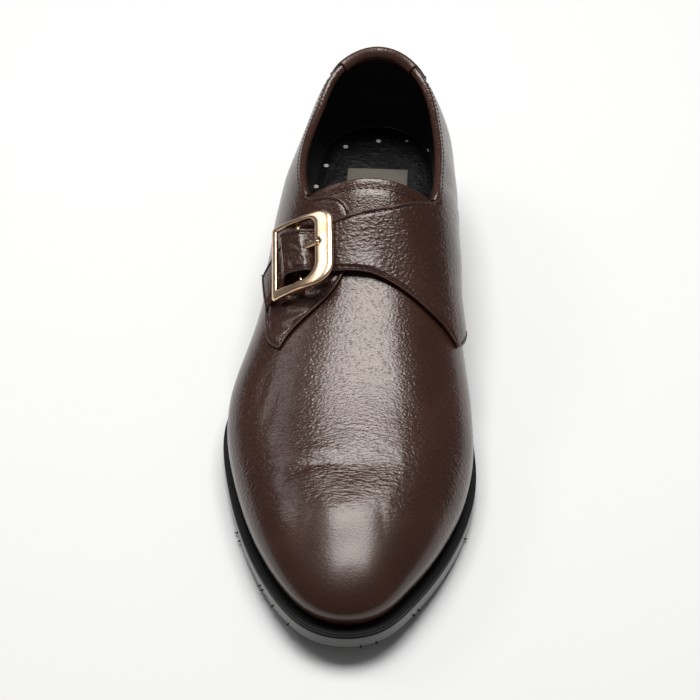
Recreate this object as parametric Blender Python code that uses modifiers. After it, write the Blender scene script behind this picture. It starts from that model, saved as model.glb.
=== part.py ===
"""Monk strap shoe for the right foot, in metres: toe towards -Y, inner side towards +X, floor at Z = 0.

The shoe's outer form is one function of two numbers. The angle runs round the plan, 0 at the toe,
plus and minus 90 at the middle of the inner and outer sides, and 180 at the heel. The climb runs up
a rib, from 0 at the feather line, where the upper meets the welt, to 1 on the ridge of the instep.
Every leather piece is a patch of that form, laid at its own height above it.
"""
import math

import bmesh
import bpy
import numpy as np
from mathutils import Matrix, Vector

MM = 0.001

# Driving sizes of the sole
SOLE_LENGTH = 298 * MM
SOLE_WIDTH = 108 * MM
WELT_THICKNESS = 2.2 * MM
WELT_LEDGE = 4.8 * MM
OUTSOLE_THICKNESS = 6.7 * MM
TOE_SPRING = 8 * MM
HEEL_RISE = 18.5 * MM
HEEL_INSET = 0.8 * MM
HEEL_TAPER = 1.5 * MM
BREAST_HOLLOW = 4 * MM
EDGE_ROUND = 0.9 * MM
EDGE_STEP = 0.3 * MM
INSOLE_THICKNESS = 4.0 * MM
INSOLE_EASE = 1.1 * MM

# Driving sizes of the upper
INSTEP_HEIGHT = 90 * MM
BACK_HEIGHT = 57 * MM
SIDE_BULGE = 8 * MM
BULGE_HEIGHT = 20 * MM
TOE_FAN = 27 * MM
HEEL_FAN = 37 * MM
UPPER_WALL = 1.8 * MM
QUARTER_THICKNESS = 1.2 * MM
STRAP_THICKNESS = 2.0 * MM
TAB_THICKNESS = 0.8 * MM
TAB_OUTSIDE = 12 * MM
TAB_INSIDE = 6 * MM
TAB_TURN = 0.5 * MM

# Driving sizes of the buckle, in its own plane: out along the strap, and across it
BUCKLE_FRONT = 18.0 * MM
BUCKLE_BACK = 13.2 * MM
BUCKLE_HALF_WIDTH = 18.1 * MM
TOE_SIDE_CORNER = 9.5 * MM
HEEL_SIDE_CORNER = 5.4 * MM
BACK_CORNER = 1.5 * MM
TOE_SIDE_WINDOW_CORNER = 7.0 * MM
HEEL_SIDE_WINDOW_CORNER = 3.6 * MM
WINDOW_BACK_CORNER = 0.5 * MM
LUG_LENGTH = 3 * MM
LUG_REACH = 0.1 * MM
FRONT_BAR_WIDTH = 8.1 * MM
TOE_SIDE_ARM = 4.5 * MM
HEEL_SIDE_ARM = 2.4 * MM
BACK_BAR_WIDTH = 3.0 * MM
FRAME_THICKNESS = 2.6 * MM
FRAME_BEND = 60 * MM
FRAME_LEAN = 0.115
FRAME_CANT = 0.08
CENTRE_BAR_RADIUS = 0.9 * MM
LOOP_THICKNESS = 0.8 * MM
LOOP_WIDTH = 12.5 * MM
LOOP_TAIL = 4 * MM
PRONG_RADIUS = 1.0 * MM
PRONG_ROOT = 0.45
PRONG_BLUNT = 0.6
PASSAGE_START = 1.2 * MM
PRONG_OVERLAP = 2.6 * MM
PRONG_PLACE = -2.6 * MM
NOTCH_DEPTH = 1.0 * MM
NOTCH_EASE = 0.6 * MM
SLOT_EASE = 0.5 * MM
STRAP_HOLE_RADIUS = 0.8 * MM
SPARE_HOLE_PLACE = 2.3 * MM
SPARE_HOLE_LEAN = 0.6 * MM

# Clearances between neighbours: flat plates, curved leather, and the running fit on a bar
GAP = 0.3 * MM
LAYER_GAP = 0.35 * MM
STRAP_SLACK = 2.1 * MM

# The plan. Shares of half the sole's width, to the inner and the outer side, and of the ledge
PLAN = (
    # angle, inner, outer, ledge
    (0, 0.050, 0.050, 1.00),
    (15, 0.337, -0.233, 1.00),
    (30, 0.563, -0.474, 1.00),
    (45, 0.796, -0.700, 1.00),
    (57, 0.946, -0.856, 1.00),
    (66, 1.000, -0.948, 1.05),
    (77, 0.963, -0.998, 1.08),
    (90, 0.860, -0.850, 1.05),
    (105, 0.745, -0.700, 0.95),
    (120, 0.700, -0.610, 0.80),
    (135, 0.665, -0.510, 0.62),
    (150, 0.600, -0.450, 0.56),
    (165, 0.380, -0.226, 0.60),
    (180, 0.075, 0.075, 0.64),
)

# The side wall. Bulge beyond the feather line and its height, as shares, and the rib's fullness
SIDE = (
    # angle, out inner, out outer, up inner, up outer, full inner, full outer
    (0, 0.20, 0.20, 0.35, 0.35, 0.46, 0.46),
    (15, 0.22, 0.22, 0.35, 0.35, 0.46, 0.46),
    (30, 0.27, 0.27, 0.40, 0.40, 0.46, 0.46),
    (45, 0.33, 0.34, 0.45, 0.45, 0.47, 0.47),
    (57, 0.36, 0.38, 0.50, 0.50, 0.48, 0.48),
    (66, 0.40, 0.42, 0.56, 0.58, 0.48, 0.48),
    (77, 0.54, 0.34, 0.70, 0.66, 0.49, 0.48),
    (90, 0.78, 0.58, 0.85, 0.80, 0.48, 0.49),
    (105, 1.05, 0.84, 0.95, 0.90, 0.47, 0.54),
    (120, 1.02, 0.88, 1.00, 0.95, 0.56, 0.58),
    (135, 0.78, 0.62, 1.00, 1.00, 0.62, 0.60),
    (150, 0.36, 0.36, 1.00, 1.00, 0.62, 0.61),
    (165, 0.34, 0.34, 1.00, 1.00, 0.61, 0.61),
    (180, 0.34, 0.34, 1.00, 1.00, 0.62, 0.62),
)

# The ridge of the toe and instep, and behind the throat the crown that the walls lean towards
RIDGE = (
    # share of the length, share of half the width, share of the instep's height
    (0.080, 0.083, 0.400),
    (0.165, 0.111, 0.461),
    (0.250, 0.139, 0.498),
    (0.330, 0.148, 0.539),
    (0.416, 0.139, 0.606),
    (0.500, 0.120, 0.700),
    (0.584, 0.110, 0.836),
    (0.655, 0.100, 0.955),
    (0.720, 0.095, 1.020),
    (0.800, 0.090, 1.040),
    (0.880, 0.080, 1.050),
    (0.940, 0.078, 1.060),
)

# The topline, as shares of the back's height above the heel seat
TOPLINE = (
    # angle, inner, outer
    (100, 0.770, 0.800),
    (115, 0.790, 0.790),
    (130, 0.800, 0.765),
    (145, 0.835, 0.835),
    (160, 0.920, 0.925),
    (170, 0.975, 0.975),
    (180, 1.000, 1.000),
)
THROAT_LINE = (
    # angle, climb of the topline near the throat, inner and outer
    (108, 0.5994, 0.6419),
    (112, 0.5642, 0.5958),
    (116, 0.5475, 0.5649),
    (120, 0.5425, 0.5437),
    (124, 0.5441, 0.5303),
    (128, 0.5491, 0.5247),
    (132, 0.5545, 0.5265),
)

# Edges of the leather pieces, by reach: 1 at the inner feather line, 0 on the ridge, -1 at the outer one
THROAT_ANGLE = 108
THROAT_END_ANGLE = 130
SEAT_SHARE = 0.02
SEAM_ANGLE = 179.8
INNER_FRONT = (
    # reach, angle of the inner quarter's front edge
    (1.00, 97.0),
    (0.85, 94.5),
    (0.70, 90.0),
    (0.60, 86.6),
    (0.54, 85.5),
    (0.47, 86.2),
    (0.40, 87.2),
)
OUTER_FRONT = (
    # reach, angle of the outer quarter's front edge
    (-1.00, 108.0),
    (-0.85, 104.0),
    (-0.70, 99.5),
    (-0.58, 94.5),
    (-0.49, 88.5),
    (-0.43, 83.8),
    (-0.38, 81.8),
)
STRAP = (
    # reach and angle of the front edge, reach and angle of the back edge, from the throat to the tip
    (0.320, 88.2, 0.335, 106.4),
    (0.200, 90.0, 0.200, 104.4),
    (0.100, 91.3, 0.100, 103.1),
    (0.000, 92.2, 0.000, 102.2),
    (-0.100, 92.7, -0.100, 101.4),
    (-0.200, 93.0, -0.200, 100.6),
    (-0.255, 93.15, -0.270, 100.2),
    (-0.310, 93.35, -0.340, 100.4),
    (-0.360, 93.3, -0.415, 101.0),
    (-0.415, 92.2, -0.500, 99.9),
    (-0.480, 90.0, -0.610, 98.0),
)
EAR = (
    # reach and angle of the front edge, reach and angle of the back edge, from the throat to the tip
    (-0.320, 83.6, -0.310, 106.5),
    (-0.250, 86.3, -0.240, 105.7),
    (-0.170, 89.2, -0.170, 104.8),
    (-0.118, 92.5, -0.120, 103.2),
    (-0.096, 95.6, -0.098, 101.2),
    (-0.088, 98.4, -0.088, 99.2),
)
TAB_ANGLE = 155

# The buckle's place on the form, its turn across the strap, and the strap's ramp over the centre bar
BUCKLE_ANGLE = 96.2
BUCKLE_REACH = -0.3185
BUCKLE_TURN = 5.9
RAMP_FLAT = 2.4 * MM
RAMP_FLAT_BACK = 4.6 * MM
RAMP_END = 9.2 * MM
STEP_START = 27 * MM
STEP_END = 21.5 * MM
STRAP_SIDE = 40 * MM

STATIONS = 90
HEEL_BREAST_ANGLE = 119


def cubic(rows, column=1, scale=1.0):
    """Smooth curve through the rows' first column and another, read at a number or an array."""
    rows = sorted(rows, key=lambda row: row[0])
    at = np.array([row[0] for row in rows], float)
    value = np.array([row[column] for row in rows], float) * scale
    step = np.diff(at)
    count = len(at)
    matrix = np.zeros((count, count))
    right = np.zeros(count)
    matrix[0, 0] = matrix[-1, -1] = 1.0
    for i in range(1, count - 1):
        matrix[i, i - 1:i + 2] = step[i - 1], 2 * (step[i - 1] + step[i]), step[i]
        right[i] = 6 * ((value[i + 1] - value[i]) / step[i] - (value[i] - value[i - 1]) / step[i - 1])
    bend = np.linalg.solve(matrix, right)

    def read(x, slope=False):
        x = np.asarray(x, float)
        i = np.clip(np.searchsorted(at, x, side="right") - 1, 0, count - 2)
        h = step[i]
        a = (at[i + 1] - x) / h
        b = (x - at[i]) / h
        if slope:
            curl = (3 * b * b - 1) * bend[i + 1] - (3 * a * a - 1) * bend[i]
            return (value[i + 1] - value[i]) / h + curl * h / 6
        curl = (a**3 - a) * bend[i] + (b**3 - b) * bend[i + 1]
        return a * value[i] + b * value[i + 1] + curl * h * h / 6

    return read


def around(rows, inner, outer, scale=1.0):
    """Smooth closed curve over the angle, from a table with an inner and an outer column."""
    ring = [(-row[0], row[outer]) for row in rows if row[0] > 0]
    ring += [(row[0], row[inner]) for row in rows if row[0] < 180]
    return cubic([(angle + turn, value) for turn in (-360, 0, 360) for angle, value in ring], 1, scale)


def smooth_step(x):
    x = np.clip(x, 0.0, 1.0)
    return x * x * (3 - 2 * x)


HALF_WIDTH = SOLE_WIDTH / 2
TOE_Y = -SOLE_LENGTH / 2
SOLE_STACK = WELT_THICKNESS + GAP + OUTSOLE_THICKNESS + GAP
QUARTER_TOP = LAYER_GAP + QUARTER_THICKNESS
BULGE_SHARE = 0.22

edge_x = around(PLAN, 1, 2, HALF_WIDTH)
ledge = around(PLAN, 3, 3, WELT_LEDGE)
bulge_out = around(SIDE, 1, 2, SIDE_BULGE)
bulge_up = around(SIDE, 3, 4, BULGE_HEIGHT)
fullness = around(SIDE, 5, 6)
ridge_rows = [(TOE_Y + SOLE_LENGTH * row[0], row[1], row[2]) for row in RIDGE]
ridge_x = cubic(ridge_rows, 1, HALF_WIDTH)
ridge_z = cubic(ridge_rows, 2, INSTEP_HEIGHT)
topline_inner = cubic(TOPLINE, 1, BACK_HEIGHT)
topline_outer = cubic(TOPLINE, 2, BACK_HEIGHT)
throat_inner = cubic(THROAT_LINE, 1)
throat_outer = cubic(THROAT_LINE, 2)
THROAT_CLIMB = {1: float(throat_inner(THROAT_ANGLE)), -1: float(throat_outer(THROAT_ANGLE))}


def from_toe(angle):
    """Size of the angle, 0 to 180 on either side."""
    return np.abs((np.asarray(angle, float) + 180) % 360 - 180)


def is_inner(angle):
    return (np.asarray(angle, float) + 180) % 360 - 180 > 0


def feather_z(y):
    """Height of the feather plane: toe spring, flat tread, and the rise to the heel seat."""
    share = (np.asarray(y, float) - TOE_Y) / SOLE_LENGTH
    spring = TOE_SPRING * np.clip((0.30 - share) / 0.30, 0, 1) ** 1.8
    return SOLE_STACK + spring + HEEL_RISE * smooth_step((share - 0.40) / 0.40)


def sole_edge(angle, inset=0.0):
    """Plan of the sole's edge, moved in by the inset."""
    angle = np.asarray(angle, float)
    along = edge_x(angle, slope=True)
    across = SOLE_LENGTH / 2 * np.sin(np.radians(angle)) * math.pi / 180
    size = np.hypot(along, across)
    x = edge_x(angle) - inset * across / size
    y = -SOLE_LENGTH / 2 * np.cos(np.radians(angle)) + inset * along / size
    return x, y


def rib_foot_y(angle):
    """Where a rib reaches the ridge or the crown: ribs fan out round the toe and round the heel."""
    size = from_toe(angle)
    y = -SOLE_LENGTH / 2 * np.cos(np.radians(size))
    y = y + TOE_FAN * np.clip(1 - (size / 60) ** 2, 0, 1) ** 2
    return y - HEEL_FAN * np.clip(1 - ((180 - size) / 60) ** 2, 0, 1) ** 2


def form(angle, climb):
    """Point of the shoe's outer form."""
    angle = np.asarray(angle, float)
    climb = np.asarray(climb, float)
    foot_x, foot_y = sole_edge(angle, ledge(angle))
    foot_z = feather_z(foot_y)
    top_y = rib_foot_y(angle)
    top_x = ridge_x(top_y)
    top_z = ridge_z(top_y)
    reach = np.hypot(foot_x - top_x, foot_y - top_y)
    out_x = (foot_x - top_x) / reach
    out_y = (foot_y - top_y) / reach
    wide = reach + bulge_out(angle)
    tilt = ridge_z(top_y, slope=True) * out_y
    drop = top_z + tilt * wide - foot_z - bulge_up(angle)
    low = np.clip(climb / BULGE_SHARE, 0, 1)
    turn = np.clip((climb - BULGE_SHARE) / (1 - BULGE_SHARE), 0, 1) * math.pi / 2
    radius = np.where(climb < BULGE_SHARE, wide - bulge_out(angle) * (1 - low) ** 2, wide * np.cos(turn))
    arch = top_z + tilt * wide * np.cos(turn) - drop * (1 - np.sin(turn) ** (2 * fullness(angle)))
    z = np.where(climb < BULGE_SHARE, foot_z + bulge_up(angle) * low, arch)
    return np.stack([top_x + out_x * radius, top_y + out_y * radius, z], -1)


def outward(angle, climb):
    """Unit normal of the form. Near the ridge it turns into the ridge's own normal."""
    angle = np.asarray(angle, float)
    climb = np.asarray(climb, float)
    clear = np.clip(climb, 0.01, 0.96)
    normal = np.cross(form(angle + 0.4, clear) - form(angle - 0.4, clear),
                      form(angle, clear + 0.01) - form(angle, clear - 0.01))
    normal /= np.linalg.norm(normal, axis=-1, keepdims=True)
    rise = ridge_z(rib_foot_y(angle), slope=True)
    crest = np.stack([np.zeros_like(rise), -rise, np.ones_like(rise)], -1)
    crest /= np.linalg.norm(crest, axis=-1, keepdims=True)
    share = np.clip((climb - 0.96) / 0.04, 0, 1)[..., None]
    normal = normal * (1 - share) + crest * share
    return normal / np.linalg.norm(normal, axis=-1, keepdims=True)


def skin(angle, climb, height=0.0):
    """Point at a height above the upper's outer face, which sinks under the quarters."""
    sink = QUARTER_TOP * smooth_step((from_toe(angle) - 78) / 18)
    lift = np.asarray(height, float) - sink
    return form(angle, climb) + outward(angle, climb) * lift[..., None]


def over(angle, reach, height=0.0):
    """The same point by reach: from 1 at the inner feather line over the ridge to -1 at the outer one."""
    side = np.where(np.asarray(reach, float) < 0, -1.0, 1.0)
    return skin(side * np.asarray(angle, float), 1 - np.abs(reach), height)


def topline_climb(angle):
    """Climb at which a rib reaches the topline: a share of the rib at the throat, a height behind it."""
    angle = np.atleast_1d(np.asarray(angle, float))
    size = from_toe(angle)
    inner = is_inner(angle)
    goal = SOLE_STACK + HEEL_RISE + np.where(inner, topline_inner(size), topline_outer(size))
    low = np.full(size.shape, BULGE_SHARE)
    high = np.ones(size.shape)
    for _ in range(30):
        middle = (low + high) / 2
        short = form(angle, middle)[:, 2] < goal
        low = np.where(short, middle, low)
        high = np.where(short, high, middle)
    near = np.where(inner, throat_inner(size), throat_outer(size))
    back = smooth_step((size - THROAT_ANGLE) / (THROAT_END_ANGLE - THROAT_ANGLE))
    return near + ((low + high) / 2 - near) * back


def clear_scene():
    for old in list(bpy.data.objects):
        bpy.data.objects.remove(old, do_unlink=True)


def material(name, colour, roughness, metallic=0.0):
    made = bpy.data.materials.new(name)
    made.use_nodes = True
    shader = made.node_tree.nodes["Principled BSDF"]
    shader.inputs["Base Color"].default_value = (*colour, 1.0)
    shader.inputs["Roughness"].default_value = roughness
    shader.inputs["Metallic"].default_value = metallic
    return made


def add_object(name, mesh, collection, look=None):
    made = bpy.data.objects.new(name, mesh)
    collection.objects.link(made)
    if look:
        mesh.materials.append(look)
        mesh.shade_smooth()
        mesh.set_sharp_from_angle(angle=math.radians(40))
    return made


def mesh_from(name, points, faces, weld=2e-6):
    """Mesh from points and faces, which face out. Points that coincide become one."""
    mesh = bpy.data.meshes.new(name)
    mesh.from_pydata([tuple(map(float, point)) for point in points], [], faces)
    work = bmesh.new()
    work.from_mesh(mesh)
    bmesh.ops.remove_doubles(work, verts=work.verts, dist=weld)
    bmesh.ops.dissolve_degenerate(work, edges=work.edges, dist=weld)
    bmesh.ops.recalc_face_normals(work, faces=work.faces)
    middle = Vector((0, 0, INSTEP_HEIGHT / 2))
    facing = sum(face.normal.dot(face.calc_center_median() - middle) * face.calc_area()
                 for face in work.faces)
    if facing < 0 and any(edge.is_boundary for edge in work.edges):
        bmesh.ops.reverse_faces(work, faces=work.faces)
    work.to_mesh(mesh)
    work.free()
    return mesh


def plate(name, rings, collection, look):
    """Solid from rings, top to bottom. Point i of a ring faces point -i, and the caps run across."""
    count = len(rings[0])
    points = [point for ring in rings for point in ring]
    faces = []
    for level in range(len(rings) - 1):
        a = level * count
        b = a + count
        faces += [(a + i, b + i, b + (i + 1) % count, a + (i + 1) % count) for i in range(count)]
    last = (len(rings) - 1) * count
    for i in range(count // 2):
        cap = [i, i + 1, (count - i - 1) % count, (count - i) % count]
        cap = [j for n, j in enumerate(cap) if j not in cap[:n]]
        faces.append(tuple(cap))
        faces.append(tuple(last + j for j in reversed(cap)))
    return add_object(name, mesh_from(name, points, faces), collection, look)


def grid_faces(rows, columns, start=0):
    """Quads of a grid of points, row after row."""
    return [(start + r * columns + c, start + r * columns + c + 1,
             start + (r + 1) * columns + c + 1, start + (r + 1) * columns + c)
            for r in range(rows - 1) for c in range(columns - 1)]


def shell(name, points, faces, thickness, side, collection, look, shares=None):
    """Open surface given a thickness: side 1 outwards, -1 inwards. Shares of it may vary by point."""
    mesh = mesh_from(name, points, faces)
    made = add_object(name, mesh, collection, look)
    solid = made.modifiers.new("leather", "SOLIDIFY")
    solid.thickness = thickness
    solid.offset = side
    solid.use_even_offset = True
    solid.use_quality_normals = True
    if shares is not None:
        group = made.vertex_groups.new(name="thickness")
        for vertex in mesh.vertices:
            group.add([vertex.index], shares(vertex.co), "REPLACE")
        solid.vertex_group = group.name
        solid.thickness_vertex_group = 0.0
    return made


def ring_angles(count=STATIONS):
    return np.arange(count) * 360.0 / count


def make_welt(collection):
    """The welt: the layer whose edge and ledge show all round, flat across."""
    angles = ring_angles()
    top_drop = GAP
    levels = ((EDGE_STEP, top_drop), (0.0, top_drop + EDGE_STEP),
              (0.0, top_drop + WELT_THICKNESS - EDGE_STEP), (EDGE_STEP, top_drop + WELT_THICKNESS))
    rings = []
    for inset, drop in levels:
        x, y = sole_edge(angles, inset)
        rings.append(np.stack([x, y, feather_z(y) - drop], -1))
    return plate("welt", rings, collection, material("welt black", (0.012, 0.011, 0.011), 0.6))


def make_outsole(collection):
    """The outsole, one thickness from toe to heel, with rounded edges."""
    angles = ring_angles()
    top = GAP + WELT_THICKNESS + GAP
    bottom = SOLE_STACK
    levels = ((EDGE_STEP, top), (0.0, top + EDGE_STEP), (0.0, bottom - EDGE_ROUND),
              (EDGE_ROUND * 0.3, bottom - EDGE_ROUND * 0.3), (EDGE_ROUND, bottom))
    rings = []
    for inset, drop in levels:
        x, y = sole_edge(angles, inset)
        rings.append(np.stack([x, y, feather_z(y) - drop], -1))
    return plate("outsole", rings, collection, material("outsole rubber", (0.015, 0.015, 0.015), 0.3))


def make_heel(collection):
    """The heel block under the seat, with a hollow breast and a slight taper."""
    side = np.arange(HEEL_BREAST_ANGLE, 180.1, (180 - HEEL_BREAST_ANGLE) / 15)
    angles = np.concatenate([side, -side[::-1][1:]])
    span = np.linspace(-1, 1, 9)[1:-1]
    foot = HEEL_INSET + HEEL_TAPER
    rings = []
    for inset, height in ((HEEL_INSET, None), (foot - EDGE_STEP, EDGE_STEP), (foot, 0.0)):
        x, y = sole_edge(angles, inset)
        front_x = (x[0] + x[-1]) / 2 + (x[0] - x[-1]) / 2 * span
        front_y = (y[0] + y[-1]) / 2 + (y[0] - y[-1]) / 2 * span + BREAST_HOLLOW * (1 - span**2)
        half = len(span) // 2
        x = np.concatenate([front_x[half:], x, front_x[:half]])
        y = np.concatenate([front_y[half:], y, front_y[:half]])
        z = feather_z(y) - SOLE_STACK - GAP if height is None else np.full(x.shape, height)
        rings.append(np.stack([x, y, z], -1))
    return plate("heel", rings, collection, material("heel rubber", (0.015, 0.015, 0.015), 0.4))


def inside_ring(angles, lift):
    """Ring inside the upper's wall, at a height above the feather plane."""
    depth = -(UPPER_WALL + INSOLE_EASE)
    low = np.zeros(angles.shape)
    high = np.full(angles.shape, 0.9)
    foot = skin(angles, low, depth)
    for _ in range(30):
        middle = (low + high) / 2
        point = skin(angles, middle, depth)
        short = point[:, 2] < feather_z(point[:, 1]) + lift
        low = np.where(short, middle, low)
        high = np.where(short, high, middle)
    point = skin(angles, low, depth)
    point[:, 2] = feather_z(point[:, 1]) + lift
    foot[:, 2] = feather_z(foot[:, 1])
    return foot, point


def make_insole(collection):
    """The sock and board, cut to the inside of the wall."""
    foot, top = inside_ring(ring_angles(), INSOLE_THICKNESS)
    return plate("insole", [top, foot], collection, material("insole black", (0.01, 0.01, 0.011), 0.5))


def make_upper(collection):
    """Vamp, tongue and lining as one hollow wall, open at the collar and underneath."""
    angles = ring_angles()
    rows = 8
    share = np.linspace(0, 1, rows + 1)
    points = []
    for angle in angles:
        points += list(skin(np.full(share.shape, angle), rib_end(angle) * share))
    count = len(angles)
    faces = [(i * (rows + 1) + c, (i + 1) % count * (rows + 1) + c,
              (i + 1) % count * (rows + 1) + c + 1, i * (rows + 1) + c + 1)
             for i in range(count) for c in range(rows)]
    front = [angle for angle in angles if angle <= THROAT_ANGLE]
    for side in (1, -1):
        start = len(points)
        for angle in front:
            end = rib_end(side * angle)
            points += list(skin(np.full(share.shape, side * angle), end + (1 - end) * share))
        faces += grid_faces(len(front), rows + 1, start)
    return shell("upper", points, faces, UPPER_WALL, -1, collection, leather("vamp leather"))


def rib_end(angle):
    """Climb at the topline behind the throat. Ahead of it, the throat's own, eased across the toe."""
    if from_toe(angle) > THROAT_ANGLE:
        return float(topline_climb(angle)[0])
    middle = (THROAT_CLIMB[1] + THROAT_CLIMB[-1]) / 2
    side = THROAT_CLIMB[1] if is_inner(angle) else THROAT_CLIMB[-1]
    return middle + (side - middle) * float(smooth_step(from_toe(angle) / THROAT_ANGLE))


def quarter_sheet(side, front_edge, tongue_rows, height, steps):
    """Points and faces of a quarter and of the strap or ear that grows out of its top front corner."""
    ahead, behind, rows, across = 5, 18, 8, 5
    corner = side * (1 - THROAT_CLIMB[side])
    edge = cubic(front_edge)
    points = []
    for share in np.linspace(0, 1, rows + 1):
        reach = side * (1 - share * THROAT_CLIMB[side])
        start = float(edge(reach if abs(reach) < 1 else side))
        sizes = np.concatenate([np.linspace(start, THROAT_ANGLE, ahead + 1),
                                np.linspace(THROAT_ANGLE, SEAM_ANGLE, behind + 1)[1:]])
        ends = np.where(sizes <= THROAT_ANGLE, THROAT_CLIMB[side], topline_climb(side * sizes))
        climb = SEAT_SHARE + (ends - SEAT_SHARE) * share
        points += list(laid(side * sizes, climb, height))
    width = ahead + behind + 1
    faces = grid_faces(rows + 1, width)
    table = ((corner, float(edge(corner)), corner, THROAT_ANGLE),) + tongue_rows
    place = np.arange(len(table))
    lines = [cubic(list(zip(place, [row[c] for row in table]))) for c in range(4)]
    start = len(points)
    for at in np.linspace(0, len(table) - 1, steps + 1):
        reach = np.linspace(float(lines[0](at)), float(lines[2](at)), across + 1)
        size = np.linspace(float(lines[1](at)), float(lines[3](at)), across + 1)
        points += list(laid(np.where(reach < 0, -1, 1) * size, 1 - np.abs(reach), height))
    faces += grid_faces(steps + 1, across + 1, start)
    return points, faces


def laid(angle, climb, height):
    """Points laid on the upper, at a height that may depend on the place."""
    base = skin(angle, climb)
    return base + outward(angle, climb) * height(base)[..., None]


def buckle_frame_axes():
    """The buckle's own axes: u out along the strap, v across it towards the toe, w off the leather."""
    here = np.array([float(BUCKLE_ANGLE)])
    place = over(here, np.array([BUCKLE_REACH]))[0]
    along = over(here, np.array([BUCKLE_REACH - 0.05]))[0] - over(here, np.array([BUCKLE_REACH + 0.05]))[0]
    w = Vector(outward(-here, np.array([1 + BUCKLE_REACH]))[0])
    u = Vector(along)
    u = (u - w * u.dot(w)).normalized()
    v = w.cross(u)
    turn = math.radians(BUCKLE_TURN)
    u, v = u * math.cos(turn) - v * math.sin(turn), v * math.cos(turn) + u * math.sin(turn)
    axes = Matrix((u, v, w)).transposed().to_4x4()
    axes.translation = Vector(place)
    return axes


BUCKLE_AXES = buckle_frame_axes()
STRAP_REST = QUARTER_TOP + LAYER_GAP
BAR_HEIGHT = STRAP_REST + LOOP_THICKNESS + GAP + CENTRE_BAR_RADIUS
FRAME_UNDER = STRAP_REST + STRAP_THICKNESS + STRAP_SLACK
STRAP_HUMP = BAR_HEIGHT + CENTRE_BAR_RADIUS + GAP + LOOP_THICKNESS + 2 * LAYER_GAP - STRAP_REST


def along_strap(points):
    """Distance of points from the buckle's middle along the strap, and 1 on the strap, 0 far beside it."""
    away = np.asarray(points, float) - np.array(BUCKLE_AXES.translation)
    u = away @ np.array(BUCKLE_AXES.col[0][:3])
    v = away @ np.array(BUCKLE_AXES.col[1][:3])
    return u, smooth_step((STRAP_SIDE - np.abs(v)) / (STRAP_SIDE / 4))


def strap_height(points):
    """The strap lies on the vamp, steps up onto the outer quarter's ear, and climbs over the centre bar."""
    u, beside = along_strap(points)
    step = smooth_step((u + STEP_START) / (STEP_START - STEP_END))
    flat = np.where(u > 0, RAMP_FLAT_BACK, RAMP_FLAT)
    hump = smooth_step((RAMP_END - np.abs(u)) / (RAMP_END - flat))
    return LAYER_GAP + beside * (step * (STRAP_REST - LAYER_GAP) + hump * STRAP_HUMP)


def quarter_height(points):
    return np.full(np.shape(points)[:-1], LAYER_GAP)


def strap_share(point):
    """Share of the strap's thickness: the quarter is one layer, the strap is folded."""
    quarter = QUARTER_THICKNESS / STRAP_THICKNESS
    u, beside = along_strap(point)
    return quarter + (1 - quarter) * float(beside * smooth_step((u + 2.1 * STEP_START) / STEP_START))


def leather(name):
    return material(name, (0.065, 0.03, 0.02), 0.38)


def make_quarters(collection):
    points, faces = quarter_sheet(1, INNER_FRONT, STRAP, strap_height, 40)
    inner = shell("inner_quarter_strap", points, faces, STRAP_THICKNESS, 1, collection,
                  leather("strap leather"), strap_share)
    points, faces = quarter_sheet(-1, OUTER_FRONT, EAR, quarter_height, 12)
    outer = shell("outer_quarter", points, faces, QUARTER_THICKNESS, 1, collection,
                  leather("quarter leather"))
    return inner, outer


def make_heel_tab(collection):
    """The binding folded over the back of the topline, lying on the quarters and on the lining."""
    outside = QUARTER_TOP + LAYER_GAP
    inside = UPPER_WALL + LAYER_GAP
    middle = (outside - inside) / 2
    radius = (outside + inside) / 2
    points = []
    sizes = np.concatenate([np.linspace(TAB_ANGLE, 180, 7), np.linspace(180, 360 - TAB_ANGLE, 7)[1:]])
    for angle in sizes:
        end = float(topline_climb(angle)[0])
        top = skin(angle, end)
        below = skin(angle, end - 0.1)
        climb_length = float(np.linalg.norm(top - below)) / 0.1
        up = (top - below) / np.linalg.norm(top - below)
        out = outward(angle, end)
        for drop in (TAB_OUTSIDE, TAB_OUTSIDE / 2, TAB_TURN):
            points.append(skin(angle, end - drop / climb_length, outside))
        for bend in (30, 60, 90, 120, 150):
            off = middle + radius * math.cos(math.radians(bend))
            points.append(top + out * off + up * (GAP + radius * 0.6 * math.sin(math.radians(bend))))
        for drop in (TAB_TURN, TAB_INSIDE / 2, TAB_INSIDE):
            points.append(skin(angle, end - drop / climb_length, -inside))
    faces = grid_faces(len(sizes), 11)
    return shell("heel_tab", points, faces, TAB_THICKNESS, 1, collection, leather("tab leather"))


def outline_side(front, back, half, front_radius, back_radius):
    """Stations round one side of the D: half the back bar, arm, front corner, half the front bar."""
    side = [(back, 0.0), (back, half * 0.5)]
    for bend in (0, 45, 90):
        turn = math.radians(bend)
        side.append((back - back_radius * (1 - math.cos(turn)),
                     half - back_radius * (1 - math.sin(turn))))
    start, end = back - back_radius, -front + front_radius
    side += [(start + (end - start) * share, half) for share in (0.17, 0.34, 0.5, 0.66, 0.83)]
    for bend in (0, 22.5, 45, 67.5, 90):
        turn = math.radians(bend)
        side.append((-front + front_radius * (1 - math.sin(turn)),
                     half - front_radius * (1 - math.cos(turn))))
    side.append((-front, half * 0.2))
    return side


def rounded_outline(toe_side, heel_side):
    """Stations all round the D, from its two sides."""
    return toe_side + [(u, -v) for u, v in reversed(heel_side[1:])]


# Section of the frame: share of the way from the outer to the inner outline, share of the thickness
FRAME_SECTION = (
    (0.12, 0.0),
    (0.0, 0.25),
    (0.0, 0.60),
    (0.18, 0.92),
    (0.50, 1.0),
    (0.82, 0.92),
    (1.0, 0.60),
    (1.0, 0.25),
    (0.88, 0.0),
)


TOE_SIDE_WINDOW = BUCKLE_HALF_WIDTH - TOE_SIDE_ARM
HEEL_SIDE_WINDOW = BUCKLE_HALF_WIDTH - HEEL_SIDE_ARM


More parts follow.
